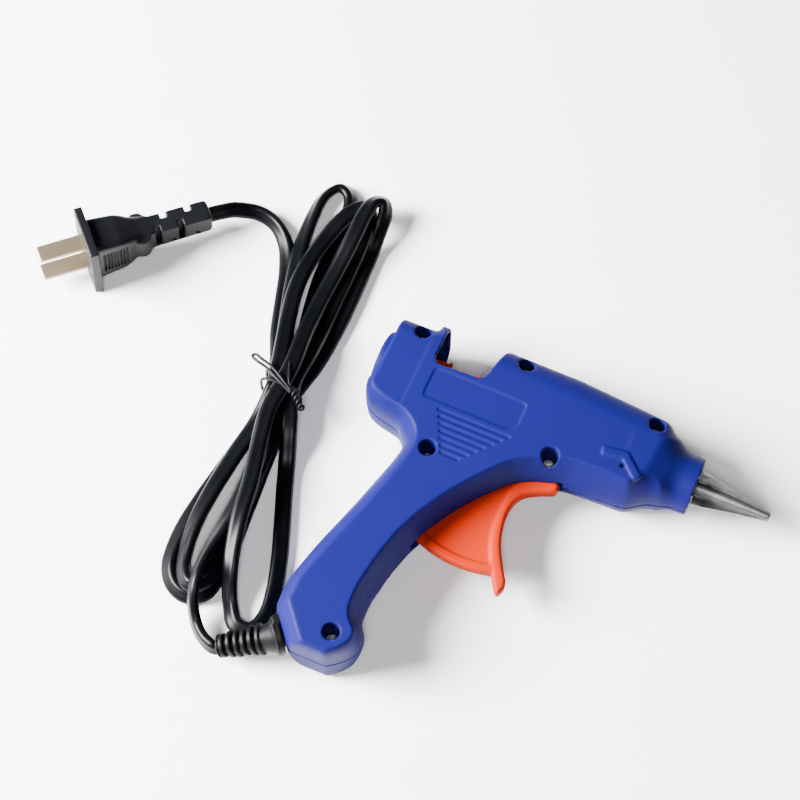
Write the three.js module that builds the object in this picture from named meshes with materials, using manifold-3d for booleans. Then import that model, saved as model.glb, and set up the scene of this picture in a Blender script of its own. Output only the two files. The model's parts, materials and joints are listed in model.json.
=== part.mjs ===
// Mini hot-melt glue gun for 7 mm sticks, lying on its left side with its lead in a tied hank.
// Millimetres. +X is the way the nozzle points, +Y is the gun's top, +Z is up from the resting side.
// The origin is on the resting side, below the barrel axis, at the middle of the body.
import * as THREE from 'three';
import { mergeVertices } from 'three/addons/utils/BufferGeometryUtils.js';
import Module from 'manifold-3d';

const wasm = await Module();
wasm.setup();

// ---- driving dimensions ----
const THICK = 28;              // body thickness across the two shells
const MID = THICK / 2;         // height of the barrel axis and of the parting plane
const WALL = 2;                // shell wall
const EDGE = 3.5;              // rounding of the shells' outer edges
const GAP = 0.3;               // clearance between touching pieces
const TIP_X = 72;              // nozzle tip
const SHROUD_FRONT = 45.5;     // front of the nozzle shroud
const SHROUD_R = 10.2;
const REAR_X = -71.5;          // crown of the domed rear face
const STICK_BORE = 3.8;        // radius of the sleeve and chamber bore for a 7 mm stick
const CARRIAGE_BORE = 3.9;
const INLET_BORE = 4.2;
const CHAMBER_R = 6;
const CHAMBER_BACK = 0;
const CHAMBER_FRONT = 38;
const SLEEVE_BACK = -12;
const TRIGGER_W = 5.5;         // width of the finger bar
const WEB_W = 3.6;             // width of the web between finger bar and grip
const PIVOT = [-17, -16];      // trigger pivot
const PIVOT_PIN_R = 1.7;
const RIM_R = 42.2;            // outer radius of the trigger's lower rim about the pivot
const LUG = [-25, -1];         // fork lugs that push the carriage
const LUG_R = 1.8;
const FORK_INNER = 6.8;        // fork arms, from the middle plane
const FORK_OUTER = 8.8;
const CARRIAGE_HALF = 6.5;     // carriage half width
const CARRIAGE_TOP = 5.7;
const CARRIAGE_BOTTOM = -8;
const RAIL_LEVELS = [-6.2, -1.6];   // lower faces of the casing's rails beside the carriage
const LEVER_PIVOT = [-47, -6];
const LEVER_PIN_R = 0.9;
const SCREW_R = 1.3;
const SCREW_HEAD_R = 2.4;
const RECESS_R = 2.85;
const BOSS_R = 3.9;
const RECESS_FLOOR = 16.3;     // height of the shoulder that a screw head clamps
const SPRING = { start: -20.3, length: 7.6, turns: 4, coil: 5.1, wire: 0.35 };
const CORD_R = 2.6;            // plain round stand-in for the 6 x 3.4 mm twin flex
const INNER_CORD_R = 2.4;
const WIRE_R = 0.8;
const HANK_HEIGHT = 4.6;       // the lobes of the hank
const WAIST = { x0: -105, x1: -92.2, z0: 1.8, z1: 12.8 };     // the hank where the tie holds it
const TIE_Y = -21.5;
const TIE_WIDTH = 1.4;
const TIE_THICK = 1.2;
const BLADE = { length: 17, width: 6.3, thick: 1.5, pitch: 12.7, seat: 6 };

const SCREW_PLACES = [
  [-40.5, -28.6], [-2.3, -14.5], [-43.1, -99.4], [-59.2, 10.4], [-22.1, 13.4], [26.3, 10.6],
];
const CLAMP_SCREWS = [[-55.9, -86.7], [-46.5, -89.3]];
const CLAMP_SCREW_R = 0.8;

// Outline of the casing seen from its side, clockwise from the front of the barrel.
const CASING = [
  [37, 10], [33.3, 12.4], [31, 14.6], [29, 15.5], [19, 16.3], [-3, 17.8],
  [-51.6, 17.8], [-55.4, 17.2], [-57, 15], [-68, 15], [-68, -10.2], [-71.2, -10.4],
  [-69.3, -15.3], [-66.9, -18.3], [-62.7, -19.9], [-54.6, -21.5], [-51.6, -25], [-49.8, -28.3],
  [-51.2, -35.4], [-56.1, -53.7], [-61.3, -70.6], [-63.6, -79.8], [-65, -86.6], [-65, -94],
  [-64.3, -97.5], [-56.6, -106.4], [-53, -107.1], [-42, -107], [-37, -103.2], [-34.1, -99],
  [-33.8, -93.5], [-37.3, -89.6], [-37.6, -81.6], [-35.8, -69.9], [-33.4, -60.6], [-30, -52.1],
  [-24.3, -42], [-17.9, -33.2], [-11.1, -25.2], [-8.6, -22.7], [-4.9, -20.6], [1.2, -18.4],
  [5, -15.6], [26.5, -15.3], [29.3, -13.1], [33.1, -10], [37, -10],
];
// The notch in the top that shows the stick and the carriage, and the slot that the trigger swings in.
const NOTCH = [
  [-51.4, 30], [-51.4, 3], [-50.6, 1.6], [-49, 1.1], [-35, 1.9], [-33.4, 2.7], [-32.6, 5],
  [-31.6, 10.5], [-30.6, 14], [-30.6, 30],
];
const TRIGGER_SLOT = [
  [5, -17.2], [-6, -17.6], [-15, -24], [-25.5, -35], [-32, -46], [-38, -56], [-30.5, -60.5],
  [-15, -60], [8, -40],
];
const CORD_EXIT = new THREE.Vector3(-59.9, -102.6, MID);      // on the slanted exit face
const EXIT_NORMAL = new THREE.Vector3(-0.756, -0.654, 0).normalize();
const RELIEF_DIR = new THREE.Vector3(-0.84, -0.45, -0.3).normalize();
const RELIEF_LENGTH = 22.3;
const RELIEF_RINGS = 6;
const FLANGE_R = 6;
const PLUG_PLACE = new THREE.Vector3(-184.4, -3.4, 13.3);     // middle of the plug's front face
const PLUG_TURN = 45;          // degrees about Z, from the blades towards the boot
const PLUG_TILT = 4;           // degrees that the boot drops
const BOOT_END = 47;

// ---- helpers ----
function outward(geometry) {
  // a closed indexed mesh with shared vertices, no thin triangles and its faces pointing out
  const bare = geometry.clone();
  bare.deleteAttribute('normal');
  bare.deleteAttribute('uv');
  const merged = mergeVertices(bare, 1e-4);
  const p = merged.attributes.position;
  const kept = [];
  const a = new THREE.Vector3();
  const b = new THREE.Vector3();
  const c = new THREE.Vector3();
  let volume = 0;
  for (let i = 0; i < merged.index.count; i += 3) {
    const [i0, i1, i2] = [0, 1, 2].map((k) => merged.index.getX(i + k));
    if (i0 === i1 || i1 === i2 || i2 === i0) continue;
    kept.push(i0, i1, i2);
    a.fromBufferAttribute(p, i0);
    b.fromBufferAttribute(p, i1);
    c.fromBufferAttribute(p, i2);
    volume += a.dot(b.cross(c));
  }
  if (volume < 0) kept.reverse();
  return { positions: Float32Array.from(p.array), indices: Uint32Array.from(kept) };
}

function solid(geometry) {
  const { positions, indices } = outward(geometry);
  const mesh = new wasm.Mesh({ numProp: 3, vertProperties: positions, triVerts: indices });
  mesh.merge();
  return new wasm.Manifold(mesh);
}

function toGeometry(shape) {
  const mesh = shape.getMesh();
  const geometry = new THREE.BufferGeometry();
  geometry.setAttribute('position', new THREE.BufferAttribute(Float32Array.from(mesh.vertProperties), 3));
  geometry.setIndex(new THREE.BufferAttribute(Uint32Array.from(mesh.triVerts), 1));
  geometry.computeVertexNormals();
  return geometry;
}

const union = (shapes) => shapes.reduce((sum, shape) => sum.add(shape));
const without = (shape, cuts) => cuts.reduce((rest, cut) => rest.subtract(cut), shape);

function path2d(points) {
  return new THREE.Shape(points.map(([x, y]) => new THREE.Vector2(x, y)));
}

function prism(points, z0, z1, edge = 0) {
  const bevel = { bevelThickness: edge, bevelSize: edge, bevelOffset: -edge, bevelSegments: 2 };
  const options = { depth: z1 - z0 - 2 * edge, curveSegments: 10, bevelEnabled: edge > 0, ...bevel };
  const geometry = new THREE.ExtrudeGeometry(path2d(points), options);
  return solid(geometry.translate(0, 0, z0 + edge));
}

function block(x0, x1, y0, y1, z0, z1) {
  const geometry = new THREE.BoxGeometry(x1 - x0, y1 - y0, z1 - z0);
  return solid(geometry.translate((x0 + x1) / 2, (y0 + y1) / 2, (z0 + z1) / 2));
}

function postZ([x, y], radius, z0, z1, sides = 14) {
  const geometry = new THREE.CylinderGeometry(radius, radius, z1 - z0, sides);
  return solid(geometry.rotateX(Math.PI / 2).translate(x, y, (z0 + z1) / 2));
}

function postY([x, z], radius, y0, y1) {
  const geometry = new THREE.CylinderGeometry(radius, radius, y1 - y0, 14);
  return solid(geometry.translate(x, (y0 + y1) / 2, z));
}

// A turned piece about the barrel axis, from [x, radius] points.
function turnedX(profile, sides = 28) {
  const geometry = new THREE.LatheGeometry(profile.map(([x, r]) => new THREE.Vector2(r, x)), sides);
  return solid(geometry.rotateZ(-Math.PI / 2).translate(0, 0, MID));
}

function rodX(radius, x0, x1, sides = 28) {
  return turnedX([[x0, 0], [x0, radius], [x1, radius], [x1, 0]], sides);
}

// A turned piece about any line, from [distance along, radius] points.
function turnedAlong(profile, origin, direction, sides = 16) {
  const geometry = new THREE.LatheGeometry(profile.map(([x, r]) => new THREE.Vector2(r, x)), sides);
  const turn = new THREE.Quaternion().setFromUnitVectors(new THREE.Vector3(0, 1, 0), direction);
  geometry.applyQuaternion(turn);
  return solid(geometry.translate(origin.x, origin.y, origin.z));
}

function tube(points, radius, sides, steps) {
  const spots = points.map((p) => new THREE.Vector3(...p));
  const curve = new THREE.CatmullRomCurve3(spots, false, 'centripetal');
  const ring = new THREE.Shape();
  ring.absarc(0, 0, radius, 0, 2 * Math.PI, false);
  const options = { extrudePath: curve, steps, bevelEnabled: false, curveSegments: sides };
  return solid(new THREE.ExtrudeGeometry(ring, options));
}

// The outline moved inwards by a distance, each corner kept sharp.
function inset(points, distance) {
  const count = points.length;
  return points.map((point, i) => {
    const here = new THREE.Vector2(...point);
    const before = here.clone().sub(new THREE.Vector2(...points[(i + count - 1) % count])).normalize();
    const after = new THREE.Vector2(...points[(i + 1) % count]).sub(here).normalize();
    const half = before.clone().add(after).normalize();
    const scale = distance / (half.x * before.x + half.y * before.y);
    return [point[0] - half.y * scale, point[1] + half.x * scale];
  });
}

function arc([x, y], radius, fromDegrees, toDegrees, steps) {
  return Array.from({ length: steps + 1 }, (_, i) => {
    const angle = THREE.MathUtils.degToRad(fromDegrees + ((toDegrees - fromDegrees) * i) / steps);
    return [x + radius * Math.cos(angle), y + radius * Math.sin(angle)];
  });
}

// Heights from one distance to another off the middle plane, on one side of it.
function beside(side, near, far) {
  return [MID + side * near, MID + side * far].sort((a, b) => a - b);
}

const group = new THREE.Group();
function add(name, shape, material) {
  const mesh = new THREE.Mesh(toGeometry(shape), material);
  mesh.name = name;
  group.add(mesh);
}

function finish(color, roughness, metalness = 0) {
  return new THREE.MeshStandardMaterial({ color, roughness, metalness });
}

const BLUE = finish(0x2c49b0, 0.55);
const ORANGE = finish(0xff5a1e, 0.5);
const ALUMINIUM = finish(0xb9bbbd, 0.4, 0.9);
const STEEL = finish(0xc9c9c6, 0.3, 1);
const BRASS = finish(0xb89a52, 0.4, 1);
const CERAMIC = finish(0x4a4642, 0.8);
const SILICONE = finish(0xd9d4c8, 0.6);
const MICA = finish(0xc9a35a, 0.7);
const BLACK = finish(0x101012, 0.45);
const WIRE_BLUE = finish(0x2f6fb5, 0.5);
const WIRE_BROWN = finish(0x6b3d22, 0.5);
const NICKEL = finish(0xb5a898, 0.35, 1);

// ---- casing: two moulded shells ----
function casingBlank() {
  // the barrel narrows to the shroud in a cone, so the flat sides end there
  const limit = turnedX([[-100, 0], [-100, 150], [26, 150], [26, 22], [38, SHROUD_R], [38, 0]], 32);
  const shroud = rodX(SHROUD_R, 24, SHROUD_FRONT, 32);
  const dome = turnedX([[REAR_X, 0], [REAR_X, 5], [-70.6, 8.8], [-69, 10.6], [-64, 10.6], [-64, 0]], 28);
  return union([prism(CASING, 0, THICK, EDGE).intersect(limit), shroud, dome]);
}

function casingCavity() {
  const limit = turnedX([[-100, 0], [-100, 150], [24, 150], [24, 20], [35, 8.2], [35, 0]], 24);
  const barrel = rodX(8.2, 30, SHROUD_FRONT - WALL, 24);
  return prism(inset(CASING, WALL), WALL, THICK - WALL).intersect(limit).add(barrel);
}

function casingRibs() {
  const ribs = SCREW_PLACES.map((place) => postZ(place, BOSS_R, 1, THICK - 1));
  ribs.push(rodX(6, -69.5, -60.5, 24));
  ribs.push(block(-30.5, -28.5, 6.1, 16.5, 1, THICK - 1));
  for (const [x0, x1] of [[1.5, 3], [23, 24.5]]) {
    ribs.push(block(x0, x1, -14, 15, 1, THICK - 1).subtract(rodX(CHAMBER_R + GAP, x0 - 1, x1 + 1)));
  }
  // pivot bosses and the carriage's two rails, on each side of the middle plane
  for (const side of [-1, 1]) {
    ribs.push(postZ(PIVOT, 3.6, ...beside(side, FORK_OUTER + GAP, 12.5)));
    const rail = beside(side, CARRIAGE_HALF + GAP, 12.5);
    for (const y of RAIL_LEVELS) ribs.push(block(-51, -31, y, y + 2, ...rail));
  }
  // two posts in the grip for the cord clamp
  for (const place of CLAMP_SCREWS) ribs.push(postZ(place, 2.2, 1, 8.9));
  return ribs;
}

function casingCuts() {
  const cuts = [];
  for (const place of SCREW_PLACES) {
    cuts.push(postZ(place, RECESS_R, RECESS_FLOOR, THICK + 1));
    cuts.push(postZ(place, SCREW_R + GAP, 3.5, RECESS_FLOOR + 1));
  }
  cuts.push(rodX(INLET_BORE, REAR_X - 1, -60, 24));
  cuts.push(rodX(5.7 + GAP, SHROUD_FRONT - WALL - 1, SHROUD_FRONT + 1, 28));
  cuts.push(postZ(PIVOT, PIVOT_PIN_R + GAP, 2.7, THICK - 2.7));
  cuts.push(prism(NOTCH, -1, THICK + 1));
  cuts.push(prism(TRIGGER_SLOT, MID - TRIGGER_W / 2 - GAP, MID + TRIGGER_W / 2 + GAP));
  // the wires' way past the heater ribs, and the cord's way out of the grip
  cuts.push(block(1, 3.5, -12.6, -7.4, 3, 9));
  cuts.push(turnedAlong([[-3, 0], [-3, 4], [2, 4], [2, 0]], CORD_EXIT, EXIT_NORMAL));
  for (const place of CLAMP_SCREWS) cuts.push(postZ(place, CLAMP_SCREW_R + GAP, 3.5, 10));
  return cuts;
}

function addShells() {
  const blank = casingBlank();
  const ribs = union(casingRibs()).intersect(blank);
  const whole = without(blank.subtract(casingCavity()).add(ribs), casingCuts());
  add('upper_shell', whole.intersect(block(-90, 90, -120, 40, MID + GAP / 2, THICK + 5)), BLUE);
  add('lower_shell', whole.intersect(block(-90, 90, -120, 40, -5, MID - GAP / 2)), BLUE);
}

function addScrews() {
  SCREW_PLACES.forEach((place, i) => {
    const shank = postZ(place, SCREW_R, 4, RECESS_FLOOR + 1, 14);
    const head = postZ(place, SCREW_HEAD_R, RECESS_FLOOR + GAP, RECESS_FLOOR + 2.1, 18);
    const [x, y] = place;
    const cross = [[0.35, 1.5], [1.5, 0.35]].map(([a, b]) => (
      block(x - a, x + a, y - b, y + b, RECESS_FLOOR + 1.1, RECESS_FLOOR + 3)));
    add(`case_screw_${i + 1}`, without(head.add(shank), cross), STEEL);
  });
}

// ---- heating group ----
// The flat parts below the chamber: the level they start from, and each one's thickness.
const STACK = { top: 7.4, electrode: 0.4, ptc: 1.6, sheet: 0.4 };

function addHeater() {
  const seat = CHAMBER_FRONT - 4;
  const collar = CHAMBER_FRONT + GAP;
  const tip = [
    [seat, 1.1], [seat, 3.7], [collar, 3.7], [collar, 5.7], [46, 5.7],
    [TIP_X - 1, 1.75], [TIP_X, 1.5], [TIP_X, 0.8], [56, 1.1], [seat, 1.1],
  ];
  add('nozzle', turnedX(tip, 24), ALUMINIUM);

  const barrel = turnedX([
    [CHAMBER_BACK, STICK_BORE], [CHAMBER_BACK, CHAMBER_R], [CHAMBER_FRONT, CHAMBER_R], [CHAMBER_FRONT, 4],
    [seat - GAP, 4], [seat - GAP, 2.4], [28, STICK_BORE], [CHAMBER_BACK, STICK_BORE],
  ], 32);
  const pad = without(block(4, 22, -5, 5, STACK.top + GAP, MID), [rodX(5, 0, 30)]);
  add('heating_chamber', barrel.add(pad), ALUMINIUM);

  let z = STACK.top;
  const plate = (name, thick, x0, x1, halfWidth, material, tab) => {
    let shape = block(x0, x1, -halfWidth, halfWidth, z - thick, z);
    if (tab) shape = shape.add(block(4.2, 7.4, -8.6, -halfWidth + 1, z - thick, z));
    add(name, shape, material);
    z -= thick + GAP;
  };
  plate('electrode_plate_upper', STACK.electrode, 4.2, 21, 4.6, BRASS, true);
  plate('ptc_heater_element', STACK.ptc, 5, 21, 4.4, CERAMIC, false);
  plate('electrode_plate_lower', STACK.electrode, 4.2, 21, 4.6, BRASS, true);
  plate('heater_insulation', STACK.sheet, 3.6, 21.6, 5.6, MICA, false);

  const base = z;
  const clip = union([
    block(9, 20, -7.5, 7.5, base - 0.6, base),
    ...[-1, 1].flatMap((side) => {
      const y = [6.9 * side, 7.5 * side].sort((p, q) => p - q);
      const lip = [3.2 * side, 7.5 * side].sort((p, q) => p - q);
      return [block(9, 20, ...y, base - 0.6, 20.9), block(9, 20, ...lip, 20.3, 20.9)];
    }),
  ]);
  add('heater_clip', clip, STEEL);

  const step = SLEEVE_BACK + 1.6;
  const front = CHAMBER_BACK - GAP;
  const sleeve = [
    [SLEEVE_BACK, STICK_BORE], [SLEEVE_BACK, 6.6], [step, 6.6], [step, 5.4], [front, 5.4],
    [front, STICK_BORE], [SLEEVE_BACK, STICK_BORE],
  ];
  add('inlet_sleeve', turnedX(sleeve, 28), SILICONE);
}

// ---- feed mechanism ----
function addCarriage() {
  const half = CARRIAGE_HALF;
  const bodies = [block(-53.3, -33.7, CARRIAGE_BOTTOM, CARRIAGE_TOP, MID - half, MID + half)];
  bodies.push(block(-34, -21, -5, 5, MID - half, MID + half));
  bodies.push(block(-47, -46, 5, 6.5, MID - half, MID + half));
  const slot = (z0, z1) => block(LUG[0] - LUG_R - GAP, LUG[0] + LUG_R + GAP, -3.6, 3.4, z0, z1);
  add('feeder_carriage', without(union(bodies), [
    rodX(CARRIAGE_BORE, -60, -10, 28),
    block(-33.7, -22.6, -6, 6, MID - half + 2.3, MID + half - 2.3),
    block(-46, -37, 1.2, 8, MID - half - 1, MID + half + 1),
    block(-51, -40.5, -9, -3, 11.2, 16.8),
    slot(MID + 3, MID + half + 1),
    slot(MID - half - 1, MID - 3),
    postZ(LEVER_PIVOT, LEVER_PIN_R + GAP, MID - half - 1, MID + half + 1, 14),
  ]), ORANGE);
}

function addGripLever() {
  const plate = prism([
    [-49.2, -7.2], [-48.6, -4.4], [-46, -4.3], [-43.4, -4.05], [-42.6, -5.2],
    [-44.3, -7.4], [-44.2, -11.4], [-46.2, -12], [-47.2, -8],
  ], 11.7, 16.3);
  add('grip_lever', plate.subtract(postZ(LEVER_PIVOT, LEVER_PIN_R + GAP, 0, THICK, 14)), STEEL);
  add('grip_lever_pin', postZ(LEVER_PIVOT, LEVER_PIN_R, 7.8, 20.2, 12), STEEL);
}

const FINGER_BAR = [
  [-11.2, -27.3], [-9.8, -22.8], [-6.4, -19.6], [-2.3, -18.2], [2.6, -17.9], [3.9, -19], [3.8, -21.7],
  [-1.2, -23.8], [-5.3, -26.2], [-7, -28.4], [-8.2, -31.5], [-8.5, -35], [-7.9, -39.6], [-7, -43.6],
  [-5.6, -47.3], [-3.5, -51.2], [-1.2, -55], [0.3, -57], [0.9, -59.4], [-0.3, -62.4], [-0.9, -62],
  [-4.5, -57.8], [-6.6, -53.9], [-8.7, -50.1], [-10.2, -45.9], [-11.2, -42], [-11.4, -35],
];

function addTrigger() {
  const across = (width) => [MID - width / 2, MID + width / 2];
  const sweep = [-74, -122];     // the rim's angles about the pivot
  const bar = prism(FINGER_BAR, ...across(TRIGGER_W));
  const outer = arc(PIVOT, RIM_R, ...sweep, 12);
  const inner = arc(PIVOT, RIM_R - 3, ...sweep, 12).reverse();
  const rim = prism([...outer, ...inner], ...across(5));
  const filled = arc(PIVOT, RIM_R - 1, ...sweep, 12);
  const web = prism([
    [-14, -13.5], [-9.4, -23.6], [-9.6, -44], [-6.6, -53.5], ...filled, [-20.5, -14],
  ], ...across(WEB_W));
  const hub = postZ(PIVOT, 4.5, MID - FORK_OUTER, MID + FORK_OUTER, 24);
  const shapes = [bar, rim, web, hub];
  const half = new THREE.Vector2(LUG[1] - PIVOT[1], PIVOT[0] - LUG[0]).normalize().multiplyScalar(2.2);
  const arm = [
    [PIVOT[0] + half.x, PIVOT[1] + half.y], [PIVOT[0] - half.x, PIVOT[1] - half.y],
    [LUG[0] - half.x, LUG[1] - half.y], [LUG[0] + half.x, LUG[1] + half.y],
  ];
  for (const side of [-1, 1]) {
    const fork = beside(side, FORK_INNER, FORK_OUTER);
    shapes.push(prism(arm, ...fork));
    shapes.push(postZ(LUG, 2.2, ...fork));
    shapes.push(postZ(LUG, LUG_R, ...beside(side, 4.6, FORK_INNER + 0.5)));
  }
  add('trigger', union(shapes).subtract(postZ(PIVOT, PIVOT_PIN_R + GAP, 0, THICK)), ORANGE);
  add('trigger_pivot_pin', postZ(PIVOT, PIVOT_PIN_R, 3, THICK - 3), STEEL);
}

class Helix extends THREE.Curve {
  // a compression spring about the barrel axis
  getPoint(t, target = new THREE.Vector3()) {
    const angle = t * SPRING.turns * 2 * Math.PI;
    const [y, z] = [SPRING.coil * Math.cos(angle), SPRING.coil * Math.sin(angle)];
    return target.set(SPRING.start + SPRING.length * t, y, MID + z);
  }
}

function addSpring() {
  const ring = new THREE.Shape();
  ring.absarc(0, 0, SPRING.wire, 0, 2 * Math.PI, false);
  const options = { extrudePath: new Helix(), steps: 44, bevelEnabled: false, curveSegments: 5 };
  add('return_spring', solid(new THREE.ExtrudeGeometry(ring, options)), STEEL);
}

// ---- cord inside the grip ----
const INNER_CORD = [
  [-56.4, -99.5, 14], [-55.3, -98.2, 13.8], [-53.9, -95, 10.2], [-52.4, -91.4, 7.4], [-51.2, -88, 6.6],
  [-50, -83.5, 6.6],
];
const LIVE_WIRE = [
  [5.8, -10, 7.2], [1, -9.2, 6.2], [-4, -7, 3.8], [-16, -8.2, 3.2], [-26, -9, 3.2], [-31, -14, 3.2],
  [-33.6, -23, 3.2], [-34.7, -30, 3.2], [-37.5, -38, 3.2], [-42.5, -50, 3.2], [-47.5, -64, 3.4],
  [-50.6, -72, 4.5], [-51.4, -76.4, 5],
];
const NEUTRAL_WIRE = [
  [5.8, -10, 4.7], [1, -10.2, 4.4], [-3, -9.2, 3.6], [-7, -9.4, 3.4], [-16, -10.6, 3.2], [-24, -11.3, 3.2],
  [-28.3, -16.5, 3.2], [-31.3, -26, 3.2], [-34.4, -37, 3.2], [-39.4, -50.5, 3.2], [-43.8, -63, 3.4],
  [-46.8, -71.5, 4.5], [-47.6, -76.4, 5],
];
const SLEEVE_XS = [-51.4, -47.6];     // the crimp sleeves, side by side

function addWiring() {
  add('inner_cord', tube(INNER_CORD, INNER_CORD_R, 10, 10), BLACK);
  const bar = prism([[-58.2, -88.7], [-57, -83.9], [-44.2, -87.3], [-45.4, -92.1]], 9.8, 11.2);
  const holes = CLAMP_SCREWS.map((place) => postZ(place, CLAMP_SCREW_R + GAP, 8, 12));
  add('cord_clamp', without(bar, holes), BLACK);
  CLAMP_SCREWS.forEach((place, i) => {
    const screw = postZ(place, CLAMP_SCREW_R, 4, 11.9, 12).add(postZ(place, 1.8, 11.5, 12.7, 16));
    add(`clamp_screw_${i + 1}`, screw, STEEL);
  });
  SLEEVE_XS.forEach((x, i) => add(`crimp_sleeve_${i + 1}`, postY([x, 5], 1.5, -82.8, -76.8), NICKEL));
  add('live_wire', tube(LIVE_WIRE, WIRE_R, 6, 30), WIRE_BROWN);
  add('neutral_wire', tube(NEUTRAL_WIRE, WIRE_R, 6, 30), WIRE_BLUE);
}

// ---- cord outside: strain relief, leads, hank, tie and plug ----
function addStrainRelief() {
  // the neck crosses the wall square on, and the ringed boot droops from its flange
  const neck = turnedAlong([
    [-4.2, 0], [-4.2, 4.8], [-2.4, 4.8], [-2.4, 3.7],
    [GAP, 3.7], [GAP, FLANGE_R], [2.2, FLANGE_R], [2.2, 0],
  ], CORD_EXIT, EXIT_NORMAL);
  const first = 5;
  const pitch = (RELIEF_LENGTH - first) / RELIEF_RINGS;
  const ringed = [[2.3, 0], [2.3, 4.6]];
  for (let i = 0; i < RELIEF_RINGS; i += 1) {
    const start = first + i * pitch;
    const end = start + 0.62 * pitch;
    const radius = 5.3 - (1.1 * i) / (RELIEF_RINGS - 1);
    ringed.push([start, radius - 1.3], [start + 0.01, radius], [end, radius], [end + 0.01, radius - 1.3]);
  }
  ringed.push([RELIEF_LENGTH, 2.9], [RELIEF_LENGTH, 0]);
  const bore = turnedAlong([[-5, 0], [-5, 2], [2, 2], [2, 0]], CORD_EXIT, EXIT_NORMAL);
  add('strain_relief', neck.add(turnedAlong(ringed, CORD_EXIT, RELIEF_DIR)).subtract(bore), BLACK);
}

// Outlines of the hank's lobes above and below the tie.
const UPPER_LOBE = [
  [-105, -16], [-110.8, 2], [-117.5, 20], [-121.8, 34], [-122.8, 50], [-121.5, 60], [-117, 65],
  [-110, 62.5], [-104, 59.5], [-100, 62], [-94, 60.5], [-91.6, 55], [-91.5, 44], [-89.5, 31],
  [-88.8, 15], [-89, 5], [-92.2, -16],
];
const LOWER_LOBE = [
  [-92.2, -27], [-86.5, -34], [-81, -49], [-75.5, -62], [-69, -79], [-66.4, -91], [-66.4, -100],
  [-68.5, -105.3], [-73, -106.8], [-78, -105.5], [-83, -100.5], [-88, -101], [-91.5, -104.6],
  [-97, -105.8], [-104, -102.8], [-109.5, -96], [-112, -85], [-110.3, -64], [-105.5, -40], [-105, -27],
];

function addHank() {
  const lobes = [UPPER_LOBE, LOWER_LOBE].map((outline) => prism(outline, 0, HANK_HEIGHT));
  const waist = block(WAIST.x0, WAIST.x1, -31, -12, WAIST.z0, WAIST.z1);
  add('cord_hank', union([...lobes, waist]), BLACK);
  const band = (grow) => path2d([
    [WAIST.x0 - grow, WAIST.z0 - grow], [WAIST.x1 + grow, WAIST.z0 - grow],
    [WAIST.x1 + grow, WAIST.z1 + grow], [WAIST.x0 - grow, WAIST.z1 + grow],
  ]);
  const ring = band(GAP + TIE_THICK);
  ring.holes.push(band(GAP));
  const tie = new THREE.ExtrudeGeometry(ring, { depth: TIE_WIDTH, bevelEnabled: false });
  add('cord_tie', solid(tie.rotateX(Math.PI / 2).translate(0, TIE_Y + TIE_WIDTH / 2, 0)), BLACK);
}

// The leads' own ends are straight for a little way out of the relief and out of the plug's boot.
function addLeads() {
  const start = CORD_EXIT.clone().addScaledVector(RELIEF_DIR, RELIEF_LENGTH + GAP);
  const next = start.clone().addScaledVector(RELIEF_DIR, 3);
  const gunLead = [start.toArray(), next.toArray(), [-86.4, -111.6, 5], [-88.6, -107.4, 4.2]];
  add('gun_lead', tube(gunLead, CORD_R, 10, 6), BLACK);
  const boot = plugPoint(BOOT_END + GAP, 0, 0);
  const out = plugPoint(BOOT_END + 4.5, 0, 0);
  const plugLead = [
    boot.toArray(), out.toArray(), [-143.2, 37.6, 8.4], [-137.4, 40.2, 5.4], [-131, 39.2, 3.4],
    [-124.6, 34.2, 3],
  ];
  add('plug_lead', tube(plugLead, CORD_R, 10, 12), BLACK);
}

const PLUG_SPIN = new THREE.Matrix4().makeRotationZ(THREE.MathUtils.degToRad(PLUG_TURN))
  .multiply(new THREE.Matrix4().makeRotationY(THREE.MathUtils.degToRad(PLUG_TILT)))
  .setPosition(PLUG_PLACE);

function plugPoint(x, y, z) {
  return new THREE.Vector3(x, y, z).applyMatrix4(PLUG_SPIN);
}

function addPlug() {
  // in its own frame the blades point to -X and the boot to +X
  const side = prism([
    [2.5, -10.5], [14, -9.4], [21, -6.4], [26, -5.8], [BOOT_END, -4.6], [BOOT_END, 4.6], [26, 5.8],
    [21, 6.4], [14, 9.4], [2.5, 10.5],
  ], -8, 8);
  const top = prism([
    [2.5, -7.6], [12, -6.9], [22, -5], [BOOT_END, -3.9], [BOOT_END, 3.9], [22, 5], [12, 6.9], [2.5, 7.6],
  ], -12, 12);
  const placed = (shape) => shape.transform(PLUG_SPIN.elements);
  const body = side.rotate([90, 0, 0]).intersect(top).add(block(0, 3, -10.4, 10.4, -13, 13));
  const cuts = [];
  for (let i = 0; i < 3; i += 1) {
    const x = 27 + i * 6.4;
    cuts.push(block(x, x + 2.2, 1.9, 12, -7, 7));
    cuts.push(block(x, x + 2.2, -12, -1.9, -7, 7));
  }
  const half = BLADE.pitch / 2;
  const blade = (grow, z) => {
    const wide = BLADE.width / 2 + grow;
    const thick = BLADE.thick / 2 + grow;
    return block(grow ? -1 : -BLADE.length, BLADE.seat + grow, -wide, wide, z - thick, z + thick);
  };
  cuts.push(blade(GAP, half), blade(GAP, -half));
  add('plug_body', placed(without(body, cuts)), BLACK);
  [half, -half].forEach((z, i) => add(`plug_blade_${i + 1}`, placed(blade(0, z)), NICKEL));
}

addShells();
addScrews();
addHeater();
addCarriage();
addGripLever();
addTrigger();
addSpring();
addWiring();
addStrainRelief();
addHank();
addLeads();
addPlug();

export default group;
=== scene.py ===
import json
import math

import bpy
import numpy as np
from mathutils import Matrix, Vector

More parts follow.
